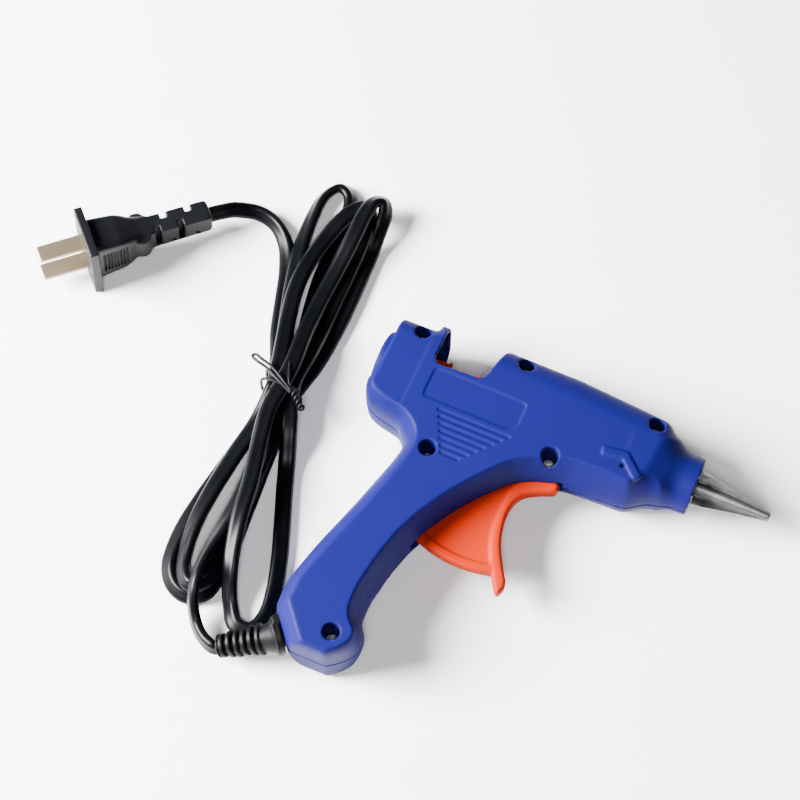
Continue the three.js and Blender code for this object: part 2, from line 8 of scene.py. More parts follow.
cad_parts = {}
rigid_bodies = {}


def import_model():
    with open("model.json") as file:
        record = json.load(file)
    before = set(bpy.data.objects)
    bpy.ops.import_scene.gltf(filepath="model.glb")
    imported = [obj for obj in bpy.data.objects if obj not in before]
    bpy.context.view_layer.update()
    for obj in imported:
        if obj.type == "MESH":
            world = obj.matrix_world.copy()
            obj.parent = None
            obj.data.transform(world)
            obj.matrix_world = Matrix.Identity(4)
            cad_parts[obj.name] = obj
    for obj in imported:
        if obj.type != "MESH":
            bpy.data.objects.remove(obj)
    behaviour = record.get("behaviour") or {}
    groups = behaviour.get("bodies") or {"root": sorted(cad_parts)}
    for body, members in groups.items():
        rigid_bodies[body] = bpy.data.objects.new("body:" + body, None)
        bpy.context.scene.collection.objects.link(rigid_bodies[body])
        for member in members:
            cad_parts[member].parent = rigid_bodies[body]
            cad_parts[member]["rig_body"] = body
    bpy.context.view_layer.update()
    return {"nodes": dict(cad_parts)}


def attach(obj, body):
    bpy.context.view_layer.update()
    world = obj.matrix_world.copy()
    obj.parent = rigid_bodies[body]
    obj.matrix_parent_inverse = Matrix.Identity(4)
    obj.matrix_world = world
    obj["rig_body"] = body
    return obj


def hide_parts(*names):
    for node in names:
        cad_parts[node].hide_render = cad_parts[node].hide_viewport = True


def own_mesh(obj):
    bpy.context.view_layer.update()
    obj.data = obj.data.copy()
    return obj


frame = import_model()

# Looks of the mini glue gun. Shapes are in millimetres in the part's own frame: +X the way the
# nozzle points, +Y the gun's top, +Z up from the side that it lies on. Meshes are written in metres.
MM = 0.001
THICK = 28.0  # across the two shells
MID = THICK / 2  # height of the barrel axis and of the parting plane


# ---- camera, light and floor ----
CAMERA_PLACE = (0.0549, -0.2654, 0.6395)
CAMERA_TILT = 24.0  # degrees from straight down
CAMERA_TURN = 24.0
CAMERA_LENS = 89.8
FLOOR_REACH = 3.0  # half of the floor's side, in metres
FLOOR_LEVEL = -0.0004  # just under the pieces that lie on it
FLOOR_GLOW = 0.04  # a little light comes through the table
SKY_LOW, SKY_TOP = 0.16, 0.05  # brightness of the surroundings at the horizon and overhead
SKY_LEFT, SKY_RIGHT = 1.3, 0.45  # its share on the left and on the right


def add_camera():
    data = bpy.data.cameras.new("camera")
    data.lens = CAMERA_LENS
    data.sensor_width = 36.0
    data.clip_start = 0.05
    camera = bpy.data.objects.new("camera", data)
    camera.location = CAMERA_PLACE
    camera.rotation_euler = (math.radians(CAMERA_TILT), 0, math.radians(CAMERA_TURN))
    bpy.context.scene.collection.objects.link(camera)
    bpy.context.scene.camera = camera


def add_light(name, place, target, size, power):
    data = bpy.data.lights.new(name, "AREA")
    data.shape = "DISK"
    data.size = size
    data.energy = power
    lamp = bpy.data.objects.new(name, data)
    lamp.location = place
    aim = Vector(target) - Vector(place)
    lamp.rotation_euler = aim.to_track_quat("-Z", "Y").to_euler()
    bpy.context.scene.collection.objects.link(lamp)


def add_floor():
    sides = ((-1, -1), (1, -1), (1, 1), (-1, 1))
    corners = [(x * FLOOR_REACH, y * FLOOR_REACH, FLOOR_LEVEL) for x, y in sides]
    mesh = bpy.data.meshes.new("floor")
    mesh.from_pydata(corners, [], [(0, 1, 2, 3)])
    floor = bpy.data.objects.new("floor", mesh)
    bpy.context.scene.collection.objects.link(floor)
    paper = make_material("floor_paper", (0.93, 0.93, 0.935), 0.85, vary=0.01, grain=(40, 0.01))
    tree = paper.node_tree
    glow = {"Emission Color": (1, 1, 1, 1), "Emission Strength": FLOOR_GLOW}
    set_inputs(tree, tree.nodes["Principled BSDF"], glow)
    mesh.materials.append(paper)


def add_surroundings():
    """A plain white studio, brighter at the horizon and on the left."""
    world = bpy.data.worlds.new("studio")
    world.use_nodes = True
    tree = world.node_tree
    way = add_node(tree, "TexCoord", {})
    split = add_node(tree, "SeparateXYZ", {"Vector": way.outputs["Generated"]})
    high = fade(tree, split.outputs["Z"], (0.1, 0.95), (SKY_LOW, SKY_TOP))
    side = fade(tree, split.outputs["X"], (-0.9, 0.7), (SKY_LEFT, SKY_RIGHT))
    both = add_node(tree, "Math", {0: high, 1: side})
    both.operation = "MULTIPLY"
    set_inputs(tree, tree.nodes["Background"], {"Color": (1, 1, 1, 1), "Strength": both.outputs["Value"]})
    bpy.context.scene.world = world


# ---- materials ----
def set_inputs(tree, node, inputs):
    """Each input of a shader node is set to a value, or linked to another node's output."""
    for name, value in inputs.items():
        if isinstance(value, bpy.types.NodeSocket):
            tree.links.new(value, node.inputs[name])
        else:
            node.inputs[name].default_value = value


def add_node(tree, kind, inputs):
    node = tree.nodes.new(f"ShaderNode{kind}")
    set_inputs(tree, node, inputs)
    return node


def fade(tree, value, span, limits):
    """A value's span stretched to the limits given."""
    ends = dict(zip(("From Min", "From Max", "To Min", "To Max"), (*span, *limits)))
    return add_node(tree, "MapRange", {"Value": value, **ends}).outputs["Result"]


def make_material(name, color, roughness, metallic=0.0, vary=0.06, blotch=60, grain=(900, 0.12),
                  specular=0.5, rough_spread=0.06):
    """A procedural finish: slow colour and gloss changes, and a fine moulded or brushed grain."""
    material = bpy.data.materials.new(name)
    material.use_nodes = True
    tree = material.node_tree
    place = add_node(tree, "TexCoord", {}).outputs["Object"]
    slow = add_node(tree, "TexNoise", {"Vector": place, "Scale": blotch, "Detail": 4})
    ramp = add_node(tree, "ValToRGB", {"Fac": slow.outputs["Fac"]})
    for element, position, share in zip(ramp.color_ramp.elements, (0.3, 0.7), (1 - vary, 1 + vary)):
        element.position = position
        element.color = (*[min(1.0, c * share) for c in color], 1)
    fine = add_node(tree, "TexNoise", {"Vector": place, "Scale": grain[0], "Detail": 3}).outputs["Fac"]
    gloss = fade(tree, fine, (0, 1), (roughness - rough_spread, roughness + rough_spread))
    bump = add_node(tree, "Bump", {"Height": fine, "Strength": grain[1], "Distance": 0.0003})
    set_inputs(tree, tree.nodes["Principled BSDF"], {
        "Base Color": ramp.outputs["Color"], "Metallic": metallic, "Roughness": gloss,
        "Normal": bump.outputs["Normal"], "Specular IOR Level": specular,
    })
    return material


# ---- meshes ----
def as_object(name, points, faces, material, body="housing"):
    """An object from points in millimetres and arrays of faces, riding on a CAD body."""
    sizes = np.concatenate([np.full(len(group), group.shape[1], np.int32) for group in faces])
    corners = np.concatenate([group.ravel() for group in faces]).astype(np.int32)
    mesh = bpy.data.meshes.new(name)
    mesh.vertices.add(len(points))
    mesh.vertices.foreach_set("co", (np.asarray(points, np.float32) * MM).ravel())
    mesh.loops.add(len(corners))
    mesh.loops.foreach_set("vertex_index", corners)
    mesh.polygons.add(len(sizes))
    mesh.polygons.foreach_set("loop_start", np.cumsum(sizes, dtype=np.int32) - sizes)
    mesh.polygons.foreach_set("use_smooth", np.full(len(sizes), True))
    mesh.update(calc_edges=True)
    mesh.materials.append(material)
    piece = bpy.data.objects.new(name, mesh)
    bpy.context.scene.collection.objects.link(piece)
    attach(piece, body)
    return piece


def unit(vectors):
    return vectors / np.linalg.norm(vectors, axis=-1, keepdims=True)


def distance_along(path):
    return np.concatenate([[0], np.cumsum(np.linalg.norm(np.diff(path, axis=0), axis=1))])


def sweep(path, sections):
    """Points and faces of a tube with a section at each path point and closed ends."""
    rings, sides = len(path), sections.shape[1]
    points = sections.reshape(-1, 3)
    around = np.arange(sides)
    ahead = (around + 1) % sides
    strip = np.stack([around, ahead, ahead + sides, around + sides], 1)
    faces = [strip + ring * sides for ring in range(rings - 1)]
    ends = []
    for ring, other in ((0, path[0]), (rings - 1, path[-1])):
        middle = len(points)
        points = np.vstack([points, other])
        first, second = (ahead, around) if ring == 0 else (around, ahead)
        ends.append(np.stack([ring * sides + first, ring * sides + second, np.full(sides, middle)], 1))
    return points, [np.vstack(faces), np.vstack(ends)]


def spline(points, step):
    """Evenly spaced points on a centripetal Catmull-Rom curve through the given rows of numbers."""
    rows = np.asarray(points, float)
    rows = np.vstack([2 * rows[0] - rows[1], rows, 2 * rows[-1] - rows[-2]])
    made = []
    for a, b, c, d in zip(rows, rows[1:], rows[2:], rows[3:]):
        gaps = [max(np.linalg.norm((q - p)[:3]), 1e-6) ** 0.5 for p, q in ((a, b), (b, c), (c, d))]
        knots = np.cumsum([0.0, *gaps])
        t = np.linspace(knots[1], knots[2], 24, endpoint=False)[:, None]
        blend = [a, b, c, d]
        for reach in (1, 2):
            blend = [((knots[i + reach] - t) * p + (t - knots[i]) * q) / (knots[i + reach] - knots[i])
                     for i, (p, q) in enumerate(zip(blend, blend[1:]))]
        made.append(((knots[2] - t) * blend[0] + (t - knots[1]) * blend[1]) / (knots[2] - knots[1]))
    fine = np.vstack([*made, rows[-2]])
    run = distance_along(fine[:, :2])
    even = np.linspace(0, run[-1], int(round(run[-1] / step)) + 1)
    return np.stack([np.interp(even, run, column) for column in fine.T], 1)


# ---- smooth solids sampled on a grid ----
FAR = 50.0
GRID_STEP = 0.45


def smooth_max(a, b, soft):
    """The larger of two distances, with the edge between them rounded over the width soft."""
    return np.maximum(a, b) + np.maximum(soft - np.abs(a - b), 0) ** 2 / (4 * soft)


def ease(t):
    """A smooth step from 0 to 1 while t goes from 0 to 1."""
    t = np.clip(t, 0, 1)
    return t * t * (3 - 2 * t)


class Field:
    """Distances to a solid in millimetres, negative inside it, sampled on a regular grid."""

    def __init__(self, low, high, step=GRID_STEP):
        self.low, self.step = np.array(low, float), step
        counts = np.ceil((np.array(high) - self.low) / step).astype(int) + 1
        self.axes = [(l + step * np.arange(n)).astype(np.float32) for l, n in zip(low, counts)]
        self.values = np.full(counts, FAR, np.float32)

    def grid(self):
        return np.meshgrid(*self.axes, indexing="ij", sparse=True)

    def near(self, shape, margin=1.5):
        """The part of the grid round a shape, and the shape's distances there."""
        low, high, distance = shape
        spans = tuple(
            slice(max(0, np.searchsorted(axis, a - margin)), max(1, np.searchsorted(axis, b + margin)))
            for axis, a, b in zip(self.axes, low, high)
        )
        axes = [axis[span] for axis, span in zip(self.axes, spans)]
        return spans, distance(*np.meshgrid(*axes, indexing="ij", sparse=True))

    def join(self, shape, soft=0.3):
        spans, distance = self.near(shape, margin=1.5 + soft)
        self.values[spans] = -smooth_max(-self.values[spans], -distance, soft)

    def cut(self, shape, soft=0.3):
        spans, distance = self.near(shape)
        self.values[spans] = smooth_max(self.values[spans], -distance, soft)

    def keep(self, distance, soft=0.3):
        self.values = smooth_max(self.values, distance, soft)


def skin(field):
    """Surface nets: a point in each grid cell that the surface crosses, a quad per crossed edge."""
    values, shape = field.values, np.array(field.values.shape)
    homes, spots, turned = [], [], []
    for axis in range(3):
        step = np.eye(3, dtype=int)[axis]
        side, other = np.eye(3, dtype=int)[(axis + 1) % 3], np.eye(3, dtype=int)[(axis + 2) % 3]
        first = values[tuple(slice(1, n - 1) for n in shape)]
        second = values[tuple(slice(1 + d, n - 1 + d) for n, d in zip(shape, step))]
        at = np.argwhere((first < 0) != (second < 0))
        a, b = first[tuple(at.T)], second[tuple(at.T)]
        corner = at + 1
        spots.append(corner + (a / (a - b))[:, None] * step)
        ring = np.stack([corner, corner - side, corner - side - other, corner - other], 1)
        homes.append(ring @ [shape[1] * shape[2], shape[2], 1])
        turned.append(a > 0)
    homes, spots, turned = np.vstack(homes), np.vstack(spots), np.concatenate(turned)
    cells, quads = np.unique(homes, return_inverse=True)
    quads = quads.reshape(homes.shape)
    count = np.bincount(quads.ravel(), minlength=len(cells))
    sums = [np.bincount(quads.ravel(), np.repeat(spots[:, k], 4), len(cells)) for k in range(3)]
    points = np.stack([total / count for total in sums], 1)
    quads[turned] = quads[turned][:, ::-1]
    return field.low + points * field.step, [quads]


def rounded(points, reach=2.5, pieces=4):
    """The closed outline with its corners rounded off; numbers after x and y are carried along."""
    rows = np.array(points, float)
    made = []
    for before, here, after in zip(np.roll(rows, 1, 0), rows, np.roll(rows, -1, 0)):
        back, ahead = np.linalg.norm((before - here)[:2]), np.linalg.norm((after - here)[:2])
        start = here + (before - here) * min(0.5, reach / back)
        end = here + (after - here) * min(0.5, reach / ahead)
        for t in np.linspace(0, 1, pieces + 1):
            made.append(start * (1 - t) ** 2 + here * 2 * t * (1 - t) + end * t ** 2)
    return np.array(made)


def outline_distance(points, x, y):
    """Signed distance to a closed outline, and the outline's carried numbers at the nearest place."""
    best = np.full(np.broadcast_shapes(x.shape, y.shape), 1e9, np.float32)
    inside = np.zeros(best.shape, bool)
    carried = [np.zeros(best.shape, np.float32) for _ in range(points.shape[1] - 2)]
    for a, b in zip(points, np.roll(points, -1, 0)):
        run = b[:2] - a[:2]
        square = float(run @ run)
        if square < 1e-9:
            continue
        along = np.clip(((x - a[0]) * run[0] + (y - a[1]) * run[1]) / square, 0, 1)
        gap = (x - a[0] - along * run[0]) ** 2 + (y - a[1] - along * run[1]) ** 2
        closer = gap < best
        best = np.where(closer, gap, best)
        for k, held in enumerate(carried):
            carried[k] = np.where(closer, a[k + 2] + along * (b[k + 2] - a[k + 2]), held)
        if a[1] != b[1]:
            spans = (y < a[1]) != (y < b[1])
            inside ^= spans & (x < a[0] + (y - a[1]) * run[0] / run[1])
    distance = np.sqrt(best)
    return np.where(inside, -distance, distance), carried


def about_middle(half):
    """The heights of a layer that reaches half to either side of the parting plane."""
    return MID - half, MID + half


def layer(value, low, high):
    """Signed distance to the layer between low and high."""
    return np.abs(value - (low + high) / 2) - (high - low) / 2


# Each shape below is given as its low corner, its high corner and its distance function.
def box(x0, x1, y0, y1, z0, z1):
    def distance(x, y, z):
        return np.maximum(np.maximum(layer(x, x0, x1), layer(y, y0, y1)), layer(z, z0, z1))
    return (x0, y0, z0), (x1, y1, z1), distance


def post(place, radius, z0, z1):
    """An upright round post or hole."""
    def distance(x, y, z):
        return np.maximum(np.hypot(x - place[0], y - place[1]) - radius, layer(z, z0, z1))
    low = (place[0] - radius, place[1] - radius, z0)
    high = (place[0] + radius, place[1] + radius, z1)
    return low, high, distance


def rod(radius, x0, x1, end_radius=None):
    """A round or tapered rod about the barrel axis."""
    last = radius if end_radius is None else end_radius
    slope = (last - radius) / (x1 - x0)

    def distance(x, y, z):
        side = (np.hypot(y, z - MID) - radius - slope * (x - x0)) / math.hypot(1, slope)
        return np.maximum(side, layer(x, x0, x1))
    widest = max(radius, last)
    return (x0, -widest, MID - widest), (x1, widest, MID + widest), distance


def prism(points, z0, z1, reach=0.4, edge=0.01):
    """An upright prism on a closed outline, with its corners and its rims slightly rounded."""
    outline = rounded(points, reach, 3)

    def distance(x, y, z):
        plan, _ = outline_distance(outline, x[:, :, 0], y[:, :, 0])
        return smooth_max(plan[:, :, None], layer(z, z0, z1), edge)
    return (*outline.min(0)[:2], z0), (*outline.max(0)[:2], z1), distance


def leaning(origin, direction, radius, start, end):
    """A round rod about any line, from start to end along it."""
    direction = unit(direction)
    tips = np.array([origin + direction * start, origin + direction * end])

    def distance(x, y, z):
        offset = [x - origin[0], y - origin[1], z - origin[2]]
        along = sum(o * d for o, d in zip(offset, direction))
        square = sum(o * o for o in offset) - along * along
        side = np.sqrt(np.maximum(square, 0)) - radius
        return np.maximum(side, layer(along, start, end))
    return tuple(tips.min(0) - radius), tuple(tips.max(0) + radius), distance


# ---- casing ----
WALL = 2.0
SPLIT = 0.15  # half of the gap between the two shells
SHROUD_R, SHROUD_BACK, SHROUD_FRONT = 10.2, 24, 45.5
NOZZLE_HOLE = 6.0
STICK_HOLE = 4.2
REAR_WALL, LOBE_REAR, LOBE_TOP = -68.0, -71.0, -8.6
DISC_REAR, DISC_R, DISC_DOME = -71.4, 11.3, 0.008
COLLAR_FRONT, COLLAR_BOTTOM, COLLAR_STEP = -54.8, -18, 0.2
FACET_START, FACET_TURN, FACET_SLOPE = 29.5, 0.17, 0.5  # the flat side slopes down to the front
END_POWER = 2.6  # how late the rear and the grip's end turn in towards the flat sides
PIVOT = (-17, -16)
SCREW_PLACES = [
    (-40.5, -28.6), (-2.3, -14.5), (-43.1, -99.4), (-59.2, 10.4), (-22.1, 13.4), (26.3, 10.6),
]
RECESS_R, RECESS_FLOOR, BOSS_R, SCREW_R = 2.85, 16.3, 3.9, 1.3
CLAMP_POSTS = [(-55.9, -86.7), (-46.5, -89.3)]
CLAMP_POST_TOP = 8.9
CORD_EXIT = np.array([-59.2, -103.4, MID])
EXIT_NORMAL = np.array([-0.756, -0.654, 0])
EXIT_INSET = 4.6  # how far the slanted face at the cord leans in at the flat sides

# The casing seen from above, anticlockwise from the front of the barrel. Each point also has how far
# the edge of the flat side lies inside the outline, and how late the side turns in: high is a
# straight wall with a rounded shoulder, low is an even slope down to the parting line.
CASING = rounded([
    (37, 10, 7, 4), (33.3, 12.4, 7, 4), (31, 14.6, 7.5, 5), (29, 15.5, 8, 5), (19, 16.3, 8.5, 5),
    (-3, 17.8, 8.5, 5), (-54.4, 17.8, 8, 5), (-55.1, 17.3, 7.5, 5), (-55.4, 15.4, 6.5, 5),
    (-56.1, 14.8, 5.5, 5), (-77, 14.6, 5.5, 5), (-77, -9, 1, 5), (-71.4, -11.4, 1.6, 4),
    (-69.3, -15.8, 2.4, 3.2), (-66.9, -18.4, 2.6, 3.2), (-62.7, -20.1, 3, 3.2), (-54.6, -21.7, 3.2, 3),
    (-51.6, -25, 4.6, 2.6), (-49.8, -28.3, 4.6, 2.2), (-51.2, -35.4, 5.2, 2.4),
    (-56.1, -53.7, 5.5, 2.6), (-61.3, -70.6, 5.5, 2.6), (-63.6, -79.8, 5.2, 2.6), (-65, -86.6, 5, 2.6),
    (-65, -94, 5, 2.6), (-64.3, -97.5, 4, 3), (-57.2, -105.7, 1, 8), (-55.8, -107, 1, 8),
    (-53, -107.3, 1, 8), (-43.2, -107.1, 1, 8), (-42, -107.1, 1, 8), (-41.2, -106.5, 1, 8),
    (-37, -103.2, 1.4, 6), (-34.1, -99, 2, 3), (-33.8, -93.5, 4, 1.8), (-37.3, -89.6, 4.4, 1.7),
    (-37.6, -81.6, 4.4, 1.7), (-35.8, -69.9, 4.4, 1.7), (-33.4, -60.6, 4.4, 1.7),
    (-30, -52.1, 4.4, 1.7), (-24.3, -42, 4.4, 1.7), (-17.9, -33.4, 4.6, 1.7), (-11.1, -25.8, 5, 1.7),
    (-8.4, -23.9, 5.2, 1.7), (-4.6, -21.9, 5.4, 1.7), (0.4, -20.2, 5.6, 1.7), (5, -18.4, 5.4, 1.7),
    (14, -17.8, 5.2, 1.7), (26.5, -17, 4.2, 1.7), (29.3, -14.9, 5, 2), (33.1, -11.2, 6.4, 3),
    (37, -10, 7, 4),
], reach=2.6)
NOTCH = [
    (-51.4, 30), (-51.4, 3), (-50.6, 1.6), (-49, 1.1), (-35, 1.9), (-33.4, 2.7), (-32.6, 5),
    (-31.4, 11), (-30.6, 15), (-29.6, 17), (-27.4, 18.4), (-27.4, 30),
]
TRIGGER_SLOT = [
    (4.4, -17.2), (-6, -17.6), (-15, -24), (-25.5, -35), (-32, -46), (-38, -56), (-30.5, -60.5),
    (-15, -60), (8, -40),
]
SLOT_HALF = 3.05
VENT_COUNT, VENT_PITCH, VENT_WIDTH, VENT_DEPTH = 7, 2.35, 1.1, 0.4
VENT_TOP, VENT_LEFT, VENT_RIGHT = -14.4, -42.9, -16.8
VENT_LEFT_SHIFT, VENT_RIGHT_SHIFT = 1.13, -2.07  # each groove ends further in than the one above
LABEL = [(-50, -0.5), (-16, -0.5), (-16, -9.6), (-18.4, -12), (-50, -12)]
LABEL_DEPTH = 0.35
CHEVRON = [(12.6, -4.6), (20.9, -3.2), (28.2, -9.8), (26.3, -12), (20.2, -6.2), (13.2, -7.4)]


def casing_fields(x, y, z):
    """Distances to the casing's outer surface and to its hollow, before ribs and cuts."""
    plan, (inset, lateness) = outline_distance(CASING, x[:, :, 0], y[:, :, 0])
    plan, inset, lateness = plan[:, :, None], inset[:, :, None], lateness[:, :, None]
    height = np.minimum(np.abs(z - MID) / MID, 1.1)
    lean = inset * height ** lateness
    steep = inset * lateness * np.maximum(height, 0.01) ** (lateness - 1) / MID
    side = (plan + lean) / np.sqrt(1 + steep ** 2)
    flat = np.abs(z - MID) - MID
    body = smooth_max(side, flat, 0.7)
    facet = flat + (x - FACET_START - FACET_TURN * y) * FACET_SLOPE
    facet = facet / math.hypot(1, FACET_SLOPE)
    body = smooth_max(body, facet, 0.8)
    slant = (x - CORD_EXIT[0]) * EXIT_NORMAL[0] + (y - CORD_EXIT[1]) * EXIT_NORMAL[1]
    body = smooth_max(body, (slant + EXIT_INSET * height ** END_POWER) * 0.85, 0.8)
    shroud = rod(SHROUD_R + 0.6, SHROUD_BACK, SHROUD_FRONT, SHROUD_R - 0.2)[2](x, y, z)
    body = -smooth_max(-body, -shroud, 5.0)
    # the collar ends in a plane with a low disc standing out of it, and the lobe below bulges back
    bulge = ease((LOBE_TOP - y) / 2.4) * (1 - np.minimum(height, 1) ** END_POWER)
    rear = REAR_WALL + (LOBE_REAR - REAR_WALL) * bulge
    body = smooth_max(body, rear - x, 1.2)
    crown = DISC_REAR + (y * y + (z - MID) ** 2) * DISC_DOME - x
    disc = smooth_max(np.hypot(y, z - MID) - DISC_R, crown, 1.2)
    body = -smooth_max(-body, -np.maximum(disc, x + 60), 0.4)
    collar_step = COLLAR_STEP * np.clip((COLLAR_FRONT - x) / 0.8, 0, 1)
    body = body + collar_step * np.clip((y - COLLAR_BOTTOM) / 1.2, 0, 1)
    hollow = np.maximum(np.maximum(plan + WALL, flat + WALL), facet + WALL)
    hollow = np.maximum(np.maximum(hollow, body + WALL * 0.8), x - 36)
    throat = rod(8.2, 30, SHROUD_FRONT - WALL)[2](x, y, z)
    return body, np.minimum(hollow, throat)


def add_ribs(field, ribs, body):
    """Posts, the inlet's collar, a wall before the notch, bulkheads, pivot bosses and rails."""
    for place in SCREW_PLACES:
        ribs.join(post(place, BOSS_R, 1, THICK - 1))
    for place in CLAMP_POSTS:
        ribs.join(post(place, 2.2, 1, CLAMP_POST_TOP))
    ribs.join(rod(6, -69.5, -60.5))
    ribs.join(box(-30.5, -28.5, 6.1, 16.5, 1, THICK - 1))
    for x0, x1 in ((1.5, 3), (23, 24.5)):
        ribs.join(box(x0, x1, -14, 15, 1, THICK - 1))
        ribs.cut(rod(6.3, x0 - 1, x1 + 1))
    for side in (-1, 1):
        near, far = sorted((MID + side * 9.1, MID + side * 12.5))
        ribs.join(post(PIVOT, 3.6, near, far))
        near, far = sorted((MID + side * 6.8, MID + side * 12.5))
        for level in (-6.2, -1.6):
            ribs.join(box(-51, -31, level, level + 2, near, far))
    ribs.values = np.maximum(ribs.values, body + 0.5)
    field.values = -smooth_max(-field.values, -ribs.values, 0.5)


def cut_casing(field, upper):
    for place in SCREW_PLACES:
        field.cut(post(place, SCREW_R + 0.3, 3.5, RECESS_FLOOR + 1))
        if upper:
            field.cut(post(place, RECESS_R, RECESS_FLOOR, THICK + 2), soft=0.5)
    field.cut(rod(STICK_HOLE, -75, -60), soft=0.5)
    field.cut(rod(NOZZLE_HOLE, SHROUD_FRONT - 3, SHROUD_FRONT + 2), soft=0.5)
    field.cut(post(PIVOT, 2.0, 2.7, THICK - 2.7))
    field.cut(prism(NOTCH, -2, THICK + 2, reach=1.2), soft=0.6)
    field.cut(prism(TRIGGER_SLOT, *about_middle(SLOT_HALF)))
    field.cut(box(1, 3.5, -12.6, -7.4, 3, 9))
    field.cut(leaning(CORD_EXIT, EXIT_NORMAL, 4, -3, 2.5))
    for place in CLAMP_POSTS:
        field.cut(post(place, 1.1, 3.5, 10))
    if not upper:
        return
    for i in range(VENT_COUNT):
        level = VENT_TOP - VENT_PITCH * i
        left, right = VENT_LEFT + VENT_LEFT_SHIFT * i, VENT_RIGHT + VENT_RIGHT_SHIFT * i
        low, high = level - VENT_WIDTH / 2, level + VENT_WIDTH / 2
        field.cut(box(left, right, low, high, THICK - VENT_DEPTH, THICK + 2))
    field.cut(prism(LABEL, THICK - LABEL_DEPTH, THICK + 2, reach=1.8), soft=0.2)
    field.join(prism(CHEVRON, THICK - 1, THICK + 0.6, reach=0.6), soft=0.4)
    field.cut(post((20.9, -8.4), 0.7, THICK - 1.2, THICK + 2))


def add_shell(name, upper, material):
    margin = 1.5
    low = MID + SPLIT - margin if upper else -margin
    high = THICK + margin if upper else MID - SPLIT + margin
    field, ribs = [Field((-73.5, -109, low), (47.5, 19.8, high)) for _ in range(2)]
    x, y, z = field.grid()
    body, hollow = casing_fields(x, y, z)
    field.values = np.maximum(body, -hollow)
    add_ribs(field, ribs, body)
    cut_casing(field, upper)
    field.keep((MID + SPLIT - z) if upper else (z - MID + SPLIT), soft=0.35)
    shell = as_object(name, *skin(field), material)
    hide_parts(name.replace("_look", ""))


# ---- the mains lead ----
CORD_WIDTH = 6.0
CORD_HEIGHT = 3.4
GROOVE_HALF = 1.63  # half of the lead's thickness at the groove between its cores
CORD_STEP = 1.0
TIE_WIRE = 0.55  # radius of the coated wire round the hank
TIE_Y = -21.5
TIE_LEFT, TIE_RIGHT, TIE_TOP = -101.4, -95.5, -98.2
SAME_RUN = 14.0  # stretches closer than this along the lead don't lie on each other
HUMP_SPREAD, HUMP_HALF = 4.5, 12  # how softly a run climbs over another, in steps
PIN_SPREAD, PIN_SEARCH = 5.0, 25  # how far a pinned height is felt and searched for, in steps
RELIEF_DIR = unit(np.array([-0.84, -0.45, -0.3]))
RELIEF_LENGTH = 22.3
PLUG_PLACE = np.array([-184.4, -3.4, 13.3])
PLUG_TURN, PLUG_TILT = 45.0, 4.0
BOOT_END = 47.0

PLUG_SPIN = np.array(Matrix.Rotation(math.radians(PLUG_TURN), 3, "Z")
                     @ Matrix.Rotation(math.radians(PLUG_TILT), 3, "Y"))


def plug_point(x, y=0.0, z=0.0):
    return PLUG_SPIN @ np.array([x, y, z]) + PLUG_PLACE


def tie_pass(column, row):
    """Where a run crosses the tie: column centre, and height on the stack of flat runs."""
    return column, 2 * TIE_WIRE + CORD_HEIGHT * (row - 0.5)


# The lead's route: x, y, which run lies over which, and degrees from lying flat.
# The runs leave the relief, go up and down through the tie in three upper and three lower loops,
# and end at the plug's boot.
GUN_LEAD = [
    (-84.2, -112.6, 2, 75), (-88, -109.6, 2, 75), (-91.4, -105.2, 2, 75), (-93.4, -100.6, 2, 70),
    (-94.6, -94.6, 2, 65), (-95.2, -86, 2, 55), (-94.5, -76, 2, 40), (-94, -66, 2, 25),
    (-95.5, -45.2, 2, 0), (-99.4, -30, 2, 0),
]
UPPER_A = [
    (-102.2, -13, 1, 0), (-108.2, 1.7, 1, 0), (-113.6, 19, 1, 0), (-117.4, 34, 1, 20),
    (-119.2, 47, 1, 40), (-118.6, 57, 1, 60), (-114.8, 62.4, 1, 60), (-110.3, 60.8, 1, 50),
    (-107.6, 54, 1, 30), (-106.6, 40, 1, 0), (-106, 26.9, 1, 0), (-103.4, 11.1, 1, 0),
    (-99.2, -5, 1, 0),
]
UPPER_B = [
    (-103.6, -12, 2, 0), (-108, 3, 2, 0), (-111, 17, 2, 0), (-111.3, 30, 2, 0), (-109.7, 43, 2, 0),
    (-106.4, 53, 2, 0), (-102.8, 57.2, 2, 30), (-99.2, 54.6, 2, 40), (-97.9, 46, 2, 20),
    (-97.4, 32.4, 2, 0), (-96.8, 14.6, 2, 0), (-95.8, -4, 2, 0),
]
UPPER_C = [
    (-98.4, -12, 3, 0), (-100.2, 2, 3, 0), (-101.2, 16, 3, 0), (-100.9, 28, 3, 0), (-100.2, 42.8, 3, 0),
    (-100.2, 52, 3, 10), (-99.2, 58.4, 3, 35), (-96.4, 60.2, 3, 50), (-94.2, 56.6, 2.6, 50),
    (-93.8, 46, 1.5, 20), (-93, 30.9, 0.5, 0), (-92.3, 14, 0.5, 0), (-93, -4, 0.5, 0),
]
LOWER_1 = [
    (-94.6, -36, 0.2, 0), (-93.4, -50, 0.2, 0), (-91.8, -66, 0.2, 20), (-90.3, -80, 0.2, 30),
    (-90, -90, 0.2, 40), (-91.6, -98, 0.2, 45), (-96.6, -101, 0.2, 50), (-102.6, -99.2, 0.2, 45),
    (-106.9, -93.6, 0.2, 38), (-108.6, -82, 0.2, 25), (-107.6, -68, 0.2, 10), (-105.2, -52, 0.2, 0),
    (-102.8, -36, 0.2, 0),
]
